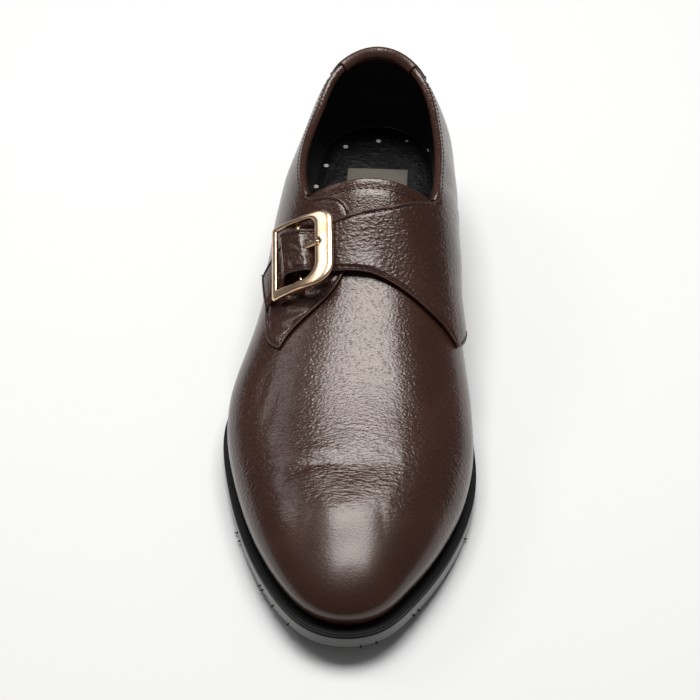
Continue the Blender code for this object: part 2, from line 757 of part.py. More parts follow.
def frame_rise(u, v):
    """The frame is bent along the strap, leans back from its raised front bar, and cants to the heel."""
    return FRAME_CANT * v - FRAME_LEAN * u - u * u / (2 * FRAME_BEND)


def make_buckle_frame(collection):
    """The D frame: a wide flat front bar, two bent arms with lugs for the centre bar, a thin back bar."""
    front, back = BUCKLE_FRONT, BUCKLE_BACK
    outer = rounded_outline(outline_side(front, back, BUCKLE_HALF_WIDTH, TOE_SIDE_CORNER, BACK_CORNER),
                            outline_side(front, back, BUCKLE_HALF_WIDTH, HEEL_SIDE_CORNER, BACK_CORNER))
    front, back = BUCKLE_FRONT - FRONT_BAR_WIDTH, BUCKLE_BACK - BACK_BAR_WIDTH
    inner = rounded_outline(
        outline_side(front, back, TOE_SIDE_WINDOW, TOE_SIDE_WINDOW_CORNER, WINDOW_BACK_CORNER),
        outline_side(front, back, HEEL_SIDE_WINDOW, HEEL_SIDE_WINDOW_CORNER, WINDOW_BACK_CORNER))
    lug_foot = BAR_HEIGHT - CENTRE_BAR_RADIUS - LUG_REACH
    count = len(FRAME_SECTION)
    points = []
    for (u_out, v_out), (u_in, v_in) in zip(outer, inner):
        on_arm = v_in > TOE_SIDE_WINDOW - GAP or v_in < GAP - HEEL_SIDE_WINDOW
        lug = float(smooth_step(1.6 - abs(u_out) / LUG_LENGTH)) if on_arm else 0.0
        for share, level in FRAME_SECTION:
            u = u_out + (u_in - u_out) * share
            v = v_out + (v_in - v_out) * share
            rise = FRAME_UNDER + frame_rise(u, v)
            under = rise + (lug_foot - rise) * lug
            points.append((u, v, under + (rise + FRAME_THICKNESS - under) * level))
    total = len(outer)
    faces = [(i * count + c, i * count + (c + 1) % count,
              (i + 1) % total * count + (c + 1) % count, (i + 1) % total * count + c)
             for i in range(total) for c in range(count)]
    mesh = mesh_from("buckle_frame", points, faces)
    made = add_object("buckle_frame", mesh, collection, brass())
    made.matrix_world = BUCKLE_AXES
    return made


def brass():
    return material("buckle brass", (0.78, 0.55, 0.36), 0.22, 1.0)


PRONG_START = BAR_HEIGHT + CENTRE_BAR_RADIUS + GAP + PRONG_RADIUS * PRONG_ROOT
PRONG_TIP = BUCKLE_FRONT - FRONT_BAR_WIDTH + PRONG_OVERLAP
PRONG_END = FRAME_UNDER + FRAME_THICKNESS + frame_rise(-PRONG_TIP, PRONG_PLACE) - NOTCH_DEPTH
ACROSS = Matrix.Rotation(math.pi / 2, 4, "X")


def prong_spot(out):
    """Point of the prong's middle line, at a distance out from the centre bar."""
    return (-out, PRONG_PLACE, PRONG_START + (PRONG_END - PRONG_START) * out / PRONG_TIP)


def make_centre_bar(collection):
    bpy.ops.mesh.primitive_cylinder_add(vertices=16, radius=CENTRE_BAR_RADIUS,
                                        depth=TOE_SIDE_WINDOW + HEEL_SIDE_WINDOW - 2 * GAP)
    source = bpy.context.object
    made = add_object("buckle_centre_bar", source.data, collection, brass())
    bpy.data.objects.remove(source, do_unlink=True)
    middle = (TOE_SIDE_WINDOW - HEEL_SIDE_WINDOW) / 2
    made.matrix_world = BUCKLE_AXES @ Matrix.Translation((0, middle, BAR_HEIGHT)) @ ACROSS
    return made


def mesh_of(curve):
    """Closed mesh of a curve."""
    source = bpy.data.objects.new(curve.name, curve)
    bpy.context.scene.collection.objects.link(source)
    mesh = bpy.data.meshes.new_from_object(source.evaluated_get(bpy.context.evaluated_depsgraph_get()))
    bpy.data.objects.remove(source, do_unlink=True)
    work = bmesh.new()
    work.from_mesh(mesh)
    bmesh.ops.remove_doubles(work, verts=work.verts, dist=1e-6)
    bmesh.ops.recalc_face_normals(work, faces=work.faces)
    work.to_mesh(mesh)
    work.free()
    return mesh


def make_prong(collection):
    """A bent wire: it hooks round the centre bar and runs through the strap's hole into the notch."""
    curve = bpy.data.curves.new("buckle_prong", "CURVE")
    curve.dimensions = "3D"
    curve.bevel_depth = PRONG_RADIUS
    curve.bevel_resolution = 2
    curve.use_fill_caps = True
    ring = CENTRE_BAR_RADIUS + GAP + PRONG_RADIUS * PRONG_ROOT
    path = [((ring * math.cos(turn), PRONG_PLACE, BAR_HEIGHT + ring * math.sin(turn)), PRONG_ROOT)
            for turn in np.radians(range(-90, 91, 30))]
    path += [(prong_spot(PRONG_TIP * share), PRONG_ROOT + (1 - PRONG_ROOT) * min(1.0, share * 2))
             for share in (0.15, 0.3, 0.5, 0.75, 0.95)]
    path.append((prong_spot(PRONG_TIP), PRONG_BLUNT))
    spline = curve.splines.new("POLY")
    spline.points.add(len(path) - 1)
    for point, (spot, size) in zip(spline.points, path):
        point.co = (*spot, 1.0)
        point.radius = size
    made = add_object("buckle_prong", mesh_of(curve), collection, brass())
    made.matrix_world = BUCKLE_AXES
    return made


def make_loop(collection, cutters):
    """The black anchor that holds the centre bar: a folded strip, slotted for the prong."""
    radius = CENTRE_BAR_RADIUS + GAP + LOOP_THICKNESS
    hole = CENTRE_BAR_RADIUS + GAP
    outline = [(LOOP_TAIL, STRAP_REST), (LOOP_TAIL, STRAP_REST + LOOP_THICKNESS * 1.6)]
    outline += [(radius * math.cos(turn), BAR_HEIGHT + radius * math.sin(turn))
                for turn in np.radians(range(30, 271, 20))]
    curve = bpy.data.curves.new("buckle_loop", "CURVE")
    curve.dimensions = "2D"
    curve.fill_mode = "BOTH"
    curve.extrude = LOOP_WIDTH / 2
    round_hole = [(hole * math.cos(turn), BAR_HEIGHT + hole * math.sin(turn))
                  for turn in np.radians(range(0, 360, 24))]
    for ring in (outline, round_hole):
        spline = curve.splines.new("POLY")
        spline.points.add(len(ring) - 1)
        for point, (u, w) in zip(spline.points, ring):
            point.co = (u, w, 0.0, 1.0)
        spline.use_cyclic_u = True
    made = add_object("buckle_loop", mesh_of(curve), collection,
                      material("loop black", (0.01, 0.01, 0.01), 0.6))
    made.matrix_world = BUCKLE_AXES @ ACROSS
    slot_half = PRONG_RADIUS * PRONG_ROOT + SLOT_EASE
    slot = box_cutter("prong_slot", (2 * radius + 2 * SLOT_EASE, 2 * slot_half, 4 * radius),
                      (0, PRONG_PLACE, BAR_HEIGHT + SLOT_EASE), cutters)
    cut(made, slot)
    return made


def box_cutter(name, size, place, cutters):
    bpy.ops.mesh.primitive_cube_add(size=1)
    made = bpy.context.object
    made.data.transform(Matrix.Diagonal((*size, 1)))
    return as_cutter(made, name, BUCKLE_AXES @ Matrix.Translation(place), cutters)


def as_cutter(made, name, where, cutters):
    made.name = name
    made.matrix_world = where
    made.hide_render = True
    made.display_type = "WIRE"
    for owner in list(made.users_collection):
        owner.objects.unlink(made)
    cutters.objects.link(made)
    return made


def rod_cutter(name, radius, start, end, cutters):
    """Round cutter between two points of the buckle's axes."""
    start, end = Vector(start), Vector(end)
    bpy.ops.mesh.primitive_cylinder_add(vertices=16, radius=radius, depth=(end - start).length)
    turn = (end - start).to_track_quat("Z", "Y").to_matrix().to_4x4()
    where = BUCKLE_AXES @ Matrix.Translation((start + end) / 2) @ turn
    return as_cutter(bpy.context.object, name, where, cutters)


def cut(target, cutter):
    step = target.modifiers.new("cut by " + cutter.name, "BOOLEAN")
    step.operation = "DIFFERENCE"
    step.solver = "EXACT"
    step.object = cutter
    return step


def build():
    clear_scene()
    shoe = bpy.data.collections.new("monk strap shoe")
    cutters = bpy.data.collections.new("cutters")
    bpy.context.scene.collection.children.link(shoe)
    bpy.context.scene.collection.children.link(cutters)
    make_outsole(shoe)
    make_heel(shoe)
    make_welt(shoe)
    make_insole(shoe)
    make_upper(shoe)
    inner, _ = make_quarters(shoe)
    make_heel_tab(shoe)
    frame = make_buckle_frame(shoe)
    make_centre_bar(shoe)
    make_prong(shoe)
    make_loop(shoe, cutters)
    passage = rod_cutter("prong_passage", PRONG_RADIUS + GAP, prong_spot(PASSAGE_START),
                         prong_spot(PRONG_TIP + NOTCH_EASE), cutters)
    cut(frame, passage)
    cut(inner, passage)
    hole_top = STRAP_REST + STRAP_HUMP + 2 * STRAP_THICKNESS
    spare = rod_cutter("spare_hole", STRAP_HOLE_RADIUS, (SPARE_HOLE_PLACE, PRONG_PLACE, STRAP_HUMP),
                       (SPARE_HOLE_PLACE + SPARE_HOLE_LEAN, PRONG_PLACE, hole_top), cutters)
    cut(inner, spare)


build()
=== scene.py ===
"""Monk strap shoe for the right foot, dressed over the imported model, in the model's metres.

The outer form is the model's own function of an angle round the plan and a climb up a rib, so every
leather piece here follows its solid, with finer sampling, rolled edges, creases and stitching.
"""
import math

import bmesh
import bpy
import numpy as np
from mathutils import Matrix, Vector


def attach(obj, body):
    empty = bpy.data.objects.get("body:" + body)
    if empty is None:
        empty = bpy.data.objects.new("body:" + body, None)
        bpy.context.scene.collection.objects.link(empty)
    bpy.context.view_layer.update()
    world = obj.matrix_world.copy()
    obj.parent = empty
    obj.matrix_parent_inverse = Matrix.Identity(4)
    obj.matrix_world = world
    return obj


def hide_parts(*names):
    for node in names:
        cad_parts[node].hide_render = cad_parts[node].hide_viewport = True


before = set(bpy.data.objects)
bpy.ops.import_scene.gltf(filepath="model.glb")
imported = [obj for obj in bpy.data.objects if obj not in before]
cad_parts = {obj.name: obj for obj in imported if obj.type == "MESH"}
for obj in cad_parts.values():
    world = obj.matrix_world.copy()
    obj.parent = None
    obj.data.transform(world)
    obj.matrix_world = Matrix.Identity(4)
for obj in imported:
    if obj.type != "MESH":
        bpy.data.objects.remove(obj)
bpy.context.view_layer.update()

MM = 0.001

# Sizes of the sole
SOLE_LENGTH = 298 * MM
SOLE_WIDTH = 108 * MM
WELT_THICKNESS = 2.2 * MM
WELT_LEDGE = 4.8 * MM
OUTSOLE_THICKNESS = 6.7 * MM
TOE_SPRING = 8 * MM
HEEL_RISE = 18.5 * MM
HEEL_INSET = 0.8 * MM
HEEL_TAPER = 1.5 * MM
BREAST_HOLLOW = 4 * MM
INSOLE_THICKNESS = 4.0 * MM
INSOLE_EASE = 1.1 * MM

# Sizes of the upper
INSTEP_HEIGHT = 90 * MM
BACK_HEIGHT = 57 * MM
SIDE_BULGE = 8 * MM
BULGE_HEIGHT = 20 * MM
TOE_FAN = 27 * MM
HEEL_FAN = 37 * MM
UPPER_WALL = 1.8 * MM
VAMP_THICKNESS = 1.6 * MM
QUARTER_THICKNESS = 1.2 * MM
STRAP_THICKNESS = 2.0 * MM
TAB_THICKNESS = 0.8 * MM
TAB_OUTSIDE = 12 * MM
TAB_INSIDE = 6 * MM

# Sizes of the buckle
BUCKLE_FRONT = 18.0 * MM
BUCKLE_BACK = 13.2 * MM
BUCKLE_HALF_WIDTH = 18.1 * MM
TOE_SIDE_CORNER = 9.5 * MM
HEEL_SIDE_CORNER = 5.4 * MM
BACK_CORNER = 1.5 * MM
TOE_SIDE_WINDOW_CORNER = 7.0 * MM
HEEL_SIDE_WINDOW_CORNER = 3.6 * MM
WINDOW_BACK_CORNER = 0.5 * MM
LUG_LENGTH = 3 * MM
LUG_REACH = 0.1 * MM
FRONT_BAR_WIDTH = 8.1 * MM
TOE_SIDE_ARM = 4.5 * MM
HEEL_SIDE_ARM = 2.4 * MM
BACK_BAR_WIDTH = 3.0 * MM
FRAME_THICKNESS = 2.6 * MM
FRAME_BEND = 60 * MM
FRAME_LEAN = 0.115
FRAME_CANT = 0.08
CENTRE_BAR_RADIUS = 0.9 * MM
LOOP_THICKNESS = 0.8 * MM
PRONG_RADIUS = 1.0 * MM
PRONG_ROOT = 0.45
PRONG_SWELL = 1.3
PRONG_LIFT = 0.3 * MM
PRONG_OVERLAP = 2.6 * MM
PRONG_PLACE = -2.6 * MM
NOTCH_DEPTH = 1.0 * MM
NOTCH_EASE = 0.25 * MM

GAP = 0.3 * MM
LAYER_GAP = 0.35 * MM
STRAP_SLACK = 2.1 * MM

# Plan of the sole: angle, inner and outer share of half the width, share of the ledge
PLAN = (
    (0, 0.050, 0.050, 1.00), (15, 0.337, -0.233, 1.00), (30, 0.563, -0.474, 1.00),
    (45, 0.796, -0.700, 1.00), (57, 0.946, -0.856, 1.00), (66, 1.000, -0.948, 1.05),
    (77, 0.963, -0.998, 1.08), (90, 0.860, -0.850, 1.05), (105, 0.745, -0.700, 0.95),
    (120, 0.700, -0.610, 0.80), (135, 0.665, -0.510, 0.62), (150, 0.600, -0.450, 0.56),
    (165, 0.380, -0.226, 0.60), (180, 0.075, 0.075, 0.64),
)

# Side wall: angle, then bulge, its height and the rib's fullness, inner and outer
SIDE = (
    (0, 0.20, 0.20, 0.35, 0.35, 0.46, 0.46), (15, 0.22, 0.22, 0.35, 0.35, 0.46, 0.46),
    (30, 0.27, 0.27, 0.40, 0.40, 0.46, 0.46), (45, 0.33, 0.34, 0.45, 0.45, 0.47, 0.47),
    (57, 0.36, 0.38, 0.50, 0.50, 0.48, 0.48), (66, 0.40, 0.42, 0.56, 0.58, 0.48, 0.48),
    (77, 0.54, 0.34, 0.70, 0.66, 0.49, 0.48), (90, 0.78, 0.58, 0.85, 0.80, 0.48, 0.49),
    (105, 1.05, 0.84, 0.95, 0.90, 0.47, 0.54), (120, 1.02, 0.88, 1.00, 0.95, 0.56, 0.58),
    (135, 0.78, 0.62, 1.00, 1.00, 0.62, 0.60), (150, 0.36, 0.36, 1.00, 1.00, 0.62, 0.61),
    (165, 0.34, 0.34, 1.00, 1.00, 0.61, 0.61), (180, 0.34, 0.34, 1.00, 1.00, 0.62, 0.62),
)

# Ridge: share of the length, share of half the width, share of the instep's height
RIDGE = (
    (0.080, 0.083, 0.400), (0.165, 0.111, 0.461), (0.250, 0.139, 0.498), (0.330, 0.148, 0.539),
    (0.416, 0.139, 0.606), (0.500, 0.120, 0.700), (0.584, 0.110, 0.836), (0.655, 0.100, 0.955),
    (0.720, 0.095, 1.020), (0.800, 0.090, 1.040), (0.880, 0.080, 1.050), (0.940, 0.078, 1.060),
)

# Topline: angle, inner and outer share of the back's height
TOPLINE = (
    (100, 0.770, 0.800), (115, 0.790, 0.790), (130, 0.800, 0.765), (145, 0.835, 0.835),
    (160, 0.920, 0.925), (170, 0.975, 0.975), (180, 1.000, 1.000),
)
THROAT_LINE = (
    (108, 0.5994, 0.6419), (112, 0.5642, 0.5958), (116, 0.5475, 0.5649), (120, 0.5425, 0.5437),
    (124, 0.5441, 0.5303), (128, 0.5491, 0.5247), (132, 0.5545, 0.5265),
)

# Edges of the leather pieces, by reach and angle
THROAT_ANGLE = 108
THROAT_END_ANGLE = 130
SEAT_CLIMB = 0.02
SEAM_ANGLE = 179.8
TAB_ANGLE = 155
HEEL_BREAST_ANGLE = 119
INNER_FRONT = ((1.00, 97.0), (0.85, 94.5), (0.70, 90.0), (0.60, 86.6), (0.54, 85.5), (0.47, 86.2),
               (0.40, 87.2))
OUTER_FRONT = ((-1.00, 108.0), (-0.85, 104.0), (-0.70, 99.5), (-0.58, 94.5), (-0.49, 88.5), (-0.43, 83.8),
               (-0.38, 81.8))
STRAP = (
    (0.320, 88.2, 0.335, 106.4), (0.200, 90.0, 0.200, 104.4), (0.100, 91.3, 0.100, 103.1),
    (0.000, 92.2, 0.000, 102.2), (-0.100, 92.7, -0.100, 101.4), (-0.200, 93.0, -0.200, 100.6),
    (-0.255, 93.15, -0.270, 100.2), (-0.310, 93.35, -0.340, 100.4), (-0.360, 93.3, -0.415, 101.0),
    (-0.415, 92.2, -0.500, 99.9), (-0.480, 90.0, -0.610, 98.0),
)
EAR = (
    (-0.320, 83.6, -0.310, 106.5), (-0.250, 86.3, -0.240, 105.7), (-0.170, 89.2, -0.170, 104.8),
    (-0.118, 92.5, -0.120, 103.2), (-0.096, 95.6, -0.098, 101.2), (-0.088, 98.4, -0.088, 99.2),
)
BUCKLE_ANGLE = 96.2
BUCKLE_REACH = -0.3185
BUCKLE_TURN = 5.9
RAMP_FLAT = 2.4 * MM
RAMP_FLAT_BACK = 4.6 * MM
RAMP_END = 9.2 * MM
STEP_START = 38 * MM
STEP_END = 21.5 * MM
STRAP_SIDE = 40 * MM

# Sewing and turned edges
STITCH_INSET = 1.5 * MM
STITCH_SPACING = 2.6 * MM
STITCH_LENGTH = 2.0 * MM
STITCH_RADIUS = 0.28 * MM
SEAM_WIDTH = 0.45 * MM
SEAM_DEPTH = 0.42 * MM
BEAD_INSET = 0.7 * MM
BEAD_HEIGHT = 0.22 * MM
EDGE_CORD = 0.5 * MM
TAB_SEAM_INSET = 1.9 * MM
TAB_STITCH_INSET = 2.3 * MM
TAB_SEAM_DEPTH = 0.2 * MM
TONGUE_ROW_ANGLE = 105.9
TONGUE_ROW_REACH = 0.40
TONGUE_SEAM_DEPTH = 0.3 * MM
TONGUE_SEAM_WIDTH = 0.45
ROLL_REACH = 0.45 * MM
ROLL_CROWN = 0.62
TAB_ROLL_REACH = 0.55 * MM
TAB_ROLL_CROWN = 0.6

# Angles over which the upper sinks under the quarters, and over which the vamp's wear ends below the strap
SINK_START = 78
SINK_SPAN = 18
WEAR_END = 74
WEAR_SPAN = 8

# Lining of the quarters: where it starts, and the ridge and groove of its seam, with widths in degrees
LINING_START = 104
SEAM_RIDGE = 0.4 * MM
SEAM_RIDGE_WIDTH = 1.5
SEAM_GROOVE = 0.6 * MM
SEAM_GROOVE_WIDTH = 0.5

# Leather turned in over the lining, in millimetres: drop below the topline, lift off the wall
TURN_IN = ((0.6, 0.0), (1.6, 0.0), (2.8, 0.0), (3.8, 0.02), (4.2, 0.12), (4.35, 0.3), (4.4, 0.45))

# Edge of the welt and of the outsole, in millimetres: inset, and drop from the top or from the foot
WELT_HEAD = ((2.2, -0.05), (0.9, -0.02), (0.45, 0.03), (0.2, 0.14), (0.05, 0.34), (0.0, 0.7))
WELT_FOOT = ((0.0, -0.6), (0.12, -0.2), (0.5, 0.0))
OUTSOLE_HEAD = ((0.75, -0.28), (0.7, 0.05), (0.35, 0.22), (0.12, 0.5), (0.05, 1.0), (0.1, 2.6))
OUTSOLE_FOOT = ((0.1, -2.2), (0.05, -1.5), (0.1, -0.9), (0.35, -0.35), (0.9, 0.0))

# Side of the heel: share of the way down, and inset in millimetres, with three grooves between the lifts
HEEL_SIDE = (
    (0.0, 0.0), (0.04, 0.0), (0.26, 0.0), (0.28, 0.35), (0.30, 0.0), (0.55, 0.0), (0.57, 0.35), (0.59, 0.0),
    (0.80, 0.0), (0.82, 0.4), (0.84, 0.0), (0.97, 0.05), (1.0, 0.5),
)

# Flecks of mould flash along the sole's foot, on the plan in millimetres
FLASH = (
    (-44.2, -86.1), (-42.6, -90.4), (-31.6, -114.7), (-30.6, -117.3), (-24.6, -126.3), (-17.6, -134.5),
    (50.9, -83.9), (31.2, -130.0), (33.5, -126.3), (8.5, -142.7), (14.5, -142.4),
)
FLASH_RADIUS = 0.5 * MM
FOREFOOT_MIDDLE = (5 * MM, -60 * MM)

# Sock, on the plan in millimetres: the label's sides, the perforations, and pull marks with width and height
LABEL_ACROSS = (-8.7, 19.0)
LABEL_ALONG = (96.0, 110.9)
LABEL_THICKNESS = 0.4 * MM
LABEL_LIFT = 0.05 * MM
PERFORATIONS = ((4.6, 131.0), (-10.6, 125.8), (-18.9, 111.9), (-22.8, 97.6), (28.7, 125.8), (33.1, 108.9))
SMALL_PERFORATIONS = ((17.9, 131.5),)
PERFORATION_HEIGHT = 0.35 * MM
PERFORATION_RADIUS = 1.25 * MM
SMALL_PERFORATION_RADIUS = 0.7 * MM
SOCK_PULLS = (
    (((24, 118), (27, 108), (25, 98)), 1.3, -0.35),
    (((29, 121), (31, 112), (30, 103)), 1.2, -0.3),
    (((20, 106), (22, 98), (21, 88)), 1.3, -0.35),
    (((-12, 119), (-16, 110), (-19, 100)), 1.4, -0.3),
    (((9, 124), (12, 118), (20, 116)), 1.3, -0.25),
)

# Creases of the vamp, on the plan in millimetres: line, width and height. The dent behind the toe and the
# roll behind it come first, then the broad flex and the toe's crown, and the pulls from the strap.
VAMP_CREASES = (
    (((-25, -89), (-20.8, -84.8), (-15, -82), (-9, -81.6), (-2, -82)), 2.4, -0.6),
    (((-23, -79), (-15.9, -76), (-8.5, -76), (1, -77)), 3.0, 0.28),
    (((-14, -82), (4, -83.5), (24, -79)), 8.0, -0.8),
    (((-14, -105), (0, -108), (16, -105)), 10.0, 1.05),
    (((-34, -60), (-31, -45), (-27, -32)), 3.0, -0.28),
    (((-38, -50), (-36, -38), (-33, -28)), 2.6, -0.28),
    (((36, -56), (35, -42), (31, -30)), 3.2, -0.22),
)


def cubic(rows, column=1, scale=1.0):
    """Smooth curve through the rows' first column and another, read at a number or an array."""
    rows = sorted(rows, key=lambda row: row[0])
    at = np.array([row[0] for row in rows], float)
    value = np.array([row[column] for row in rows], float) * scale
    step = np.diff(at)
    count = len(at)
    matrix = np.zeros((count, count))
    right = np.zeros(count)
    matrix[0, 0] = matrix[-1, -1] = 1.0
    for i in range(1, count - 1):
        matrix[i, i - 1:i + 2] = step[i - 1], 2 * (step[i - 1] + step[i]), step[i]
        right[i] = 6 * ((value[i + 1] - value[i]) / step[i] - (value[i] - value[i - 1]) / step[i - 1])
    bend = np.linalg.solve(matrix, right)

    def read(x, slope=False):
        x = np.asarray(x, float)
        i = np.clip(np.searchsorted(at, x, side="right") - 1, 0, count - 2)
        h = step[i]
        a = (at[i + 1] - x) / h
        b = (x - at[i]) / h
        if slope:
            curl = (3 * b * b - 1) * bend[i + 1] - (3 * a * a - 1) * bend[i]
            return (value[i + 1] - value[i]) / h + curl * h / 6
        curl = (a**3 - a) * bend[i] + (b**3 - b) * bend[i + 1]
        return a * value[i] + b * value[i + 1] + curl * h * h / 6

    return read


def around(rows, inner, outer, scale=1.0):
    """Smooth closed curve over the angle, from a table with an inner and an outer column."""
    ring = [(-row[0], row[outer]) for row in rows if row[0] > 0]
    ring += [(row[0], row[inner]) for row in rows if row[0] < 180]
    return cubic([(angle + turn, value) for turn in (-360, 0, 360) for angle, value in ring], 1, scale)


def smooth_step(x):
    x = np.clip(x, 0.0, 1.0)
    return x * x * (3 - 2 * x)


def bell(distance, width):
    """Soft bump of height 1 at no distance."""
    return np.exp(-(distance / width) ** 2)


def unit(vectors):
    return vectors / np.linalg.norm(vectors, axis=-1, keepdims=True)


def halved(is_short, low, high):
    """Value between low and high at which a test stops holding."""
    for _ in range(24):
        middle = (low + high) / 2
        short = is_short(middle)
        low = np.where(short, middle, low)
        high = np.where(short, high, middle)
    return (low + high) / 2


HALF_WIDTH = SOLE_WIDTH / 2
TOE_Y = -SOLE_LENGTH / 2
SOLE_STACK = WELT_THICKNESS + GAP + OUTSOLE_THICKNESS + GAP
QUARTER_TOP = LAYER_GAP + QUARTER_THICKNESS
BULGE_CLIMB = 0.22

edge_x = around(PLAN, 1, 2, HALF_WIDTH)
ledge = around(PLAN, 3, 3, WELT_LEDGE)
bulge_out = around(SIDE, 1, 2, SIDE_BULGE)
bulge_up = around(SIDE, 3, 4, BULGE_HEIGHT)
fullness = around(SIDE, 5, 6)
ridge_rows = [(TOE_Y + SOLE_LENGTH * row[0], row[1], row[2]) for row in RIDGE]
ridge_x = cubic(ridge_rows, 1, HALF_WIDTH)
ridge_z = cubic(ridge_rows, 2, INSTEP_HEIGHT)
topline_inner = cubic(TOPLINE, 1, BACK_HEIGHT)
topline_outer = cubic(TOPLINE, 2, BACK_HEIGHT)
throat_inner = cubic(THROAT_LINE, 1)
throat_outer = cubic(THROAT_LINE, 2)
THROAT_CLIMB = {1: float(throat_inner(THROAT_ANGLE)), -1: float(throat_outer(THROAT_ANGLE))}


def from_toe(angle):
    """Angle from the toe, from 0 to 180 on either side."""
    return np.abs((np.asarray(angle, float) + 180) % 360 - 180)


def is_inner(angle):
    """True on the inner side of the shoe, where angles from the toe count upwards."""
    return (np.asarray(angle, float) + 180) % 360 - 180 > 0


def feather_z(y):
    """Height of the feather plane: toe spring, flat tread, and the rise to the heel seat."""
    share = (np.asarray(y, float) - TOE_Y) / SOLE_LENGTH
    spring = TOE_SPRING * np.clip((0.30 - share) / 0.30, 0, 1) ** 1.8
    return SOLE_STACK + spring + HEEL_RISE * smooth_step((share - 0.40) / 0.40)


def sole_edge(angle, inset=0.0):
    """Plan of the sole's edge, moved in by the inset."""
    angle = np.asarray(angle, float)
    along = edge_x(angle, slope=True)
    across = SOLE_LENGTH / 2 * np.sin(np.radians(angle)) * math.pi / 180
    size = np.hypot(along, across)
    x = edge_x(angle) - inset * across / size
    y = -SOLE_LENGTH / 2 * np.cos(np.radians(angle)) + inset * along / size
    return x, y


def rib_foot_y(angle):
    """Place along the ridge where a rib ends: the ribs fan out round the toe and the heel."""
    size = from_toe(angle)
    y = -SOLE_LENGTH / 2 * np.cos(np.radians(size))
    y = y + TOE_FAN * np.clip(1 - (size / 60) ** 2, 0, 1) ** 2
    return y - HEEL_FAN * np.clip(1 - ((180 - size) / 60) ** 2, 0, 1) ** 2


def form(angle, climb):
    """Point of the shoe's outer form."""
    angle = np.asarray(angle, float)
    climb = np.asarray(climb, float)
    foot_x, foot_y = sole_edge(angle, ledge(angle))
    foot_z = feather_z(foot_y)
    top_y = rib_foot_y(angle)
    top_x = ridge_x(top_y)
    top_z = ridge_z(top_y)
    reach = np.hypot(foot_x - top_x, foot_y - top_y)
    out_x = (foot_x - top_x) / reach
    out_y = (foot_y - top_y) / reach
    wide = reach + bulge_out(angle)
    tilt = ridge_z(top_y, slope=True) * out_y
    drop = top_z + tilt * wide - foot_z - bulge_up(angle)
    low = np.clip(climb / BULGE_CLIMB, 0, 1)
    turn = np.clip((climb - BULGE_CLIMB) / (1 - BULGE_CLIMB), 0, 1) * math.pi / 2
    radius = np.where(climb < BULGE_CLIMB, wide - bulge_out(angle) * (1 - low) ** 2, wide * np.cos(turn))
    arch = top_z + tilt * wide * np.cos(turn) - drop * (1 - np.sin(turn) ** (2 * fullness(angle)))
    z = np.where(climb < BULGE_CLIMB, foot_z + bulge_up(angle) * low, arch)
    return np.stack([top_x + out_x * radius, top_y + out_y * radius, z], -1)


def outward(angle, climb):
    """Unit normal of the form. Near the ridge it turns into the ridge's own normal."""
    angle = np.asarray(angle, float)
    climb = np.asarray(climb, float)
    clear = np.clip(climb, 0.01, 0.96)
    normal = unit(np.cross(form(angle + 0.4, clear) - form(angle - 0.4, clear),
                           form(angle, clear + 0.01) - form(angle, clear - 0.01)))
    rise = ridge_z(rib_foot_y(angle), slope=True)
    crest = unit(np.stack([np.zeros_like(rise), -rise, np.ones_like(rise)], -1))
    share = np.clip((climb - 0.96) / 0.04, 0, 1)[..., None]
    return unit(normal * (1 - share) + crest * share)


def skin(angle, climb, height=0.0):
    """Point at a height above the upper's outer face, which sinks under the quarters."""
    sink = QUARTER_TOP * smooth_step((from_toe(angle) - SINK_START) / SINK_SPAN)
    lift = np.asarray(height, float) - sink
    return form(angle, climb) + outward(angle, climb) * lift[..., None]


def topline_climb(angle):
    """Climb at which a rib reaches the topline: a share of the rib at the throat, a height behind it."""
    angle = np.asarray(angle, float)
    size = from_toe(angle)
    inner = is_inner(angle)
    goal = SOLE_STACK + HEEL_RISE + np.where(inner, topline_inner(size), topline_outer(size))
    behind = halved(lambda climb: form(angle, climb)[..., 2] < goal,
                    np.full(size.shape, BULGE_CLIMB), np.ones(size.shape))
    near = np.where(inner, throat_inner(size), throat_outer(size))
    return near + (behind - near) * smooth_step((size - THROAT_ANGLE) / (THROAT_END_ANGLE - THROAT_ANGLE))


def rib_end(angle):
    """Climb at the topline behind the throat, and at the throat's own height ahead of it."""
    size = from_toe(angle)
    middle = (THROAT_CLIMB[1] + THROAT_CLIMB[-1]) / 2
    side = np.where(is_inner(angle), THROAT_CLIMB[1], THROAT_CLIMB[-1])
    ahead = middle + (side - middle) * smooth_step(size / THROAT_ANGLE)
    return np.where(size > THROAT_ANGLE, topline_climb(angle), ahead)


def buckle_frame_axes():
    """The buckle's own axes: u out along the strap, v across it towards the toe, w off the leather."""
    def place(reach):
        return skin(np.array([-float(BUCKLE_ANGLE)]), np.array([1 + reach]))[0]
    along = place(BUCKLE_REACH - 0.05) - place(BUCKLE_REACH + 0.05)
    w = Vector(outward(np.array([-float(BUCKLE_ANGLE)]), np.array([1 + BUCKLE_REACH]))[0])
    u = Vector(along)
    u = (u - w * u.dot(w)).normalized()
    v = w.cross(u)
    turn = math.radians(BUCKLE_TURN)
    u, v = u * math.cos(turn) - v * math.sin(turn), v * math.cos(turn) + u * math.sin(turn)
    axes = Matrix((u, v, w)).transposed().to_4x4()
    axes.translation = Vector(place(BUCKLE_REACH))
    return axes


BUCKLE_AXES = buckle_frame_axes()
STRAP_REST = QUARTER_TOP + LAYER_GAP
BAR_HEIGHT = STRAP_REST + LOOP_THICKNESS + GAP + CENTRE_BAR_RADIUS
FRAME_UNDER = STRAP_REST + STRAP_THICKNESS + STRAP_SLACK
STRAP_HUMP = BAR_HEIGHT + CENTRE_BAR_RADIUS + GAP + LOOP_THICKNESS + 2 * LAYER_GAP - STRAP_REST
PRONG_START = BAR_HEIGHT + CENTRE_BAR_RADIUS + GAP + PRONG_RADIUS * PRONG_ROOT
PRONG_TIP = BUCKLE_FRONT - FRONT_BAR_WIDTH + PRONG_OVERLAP


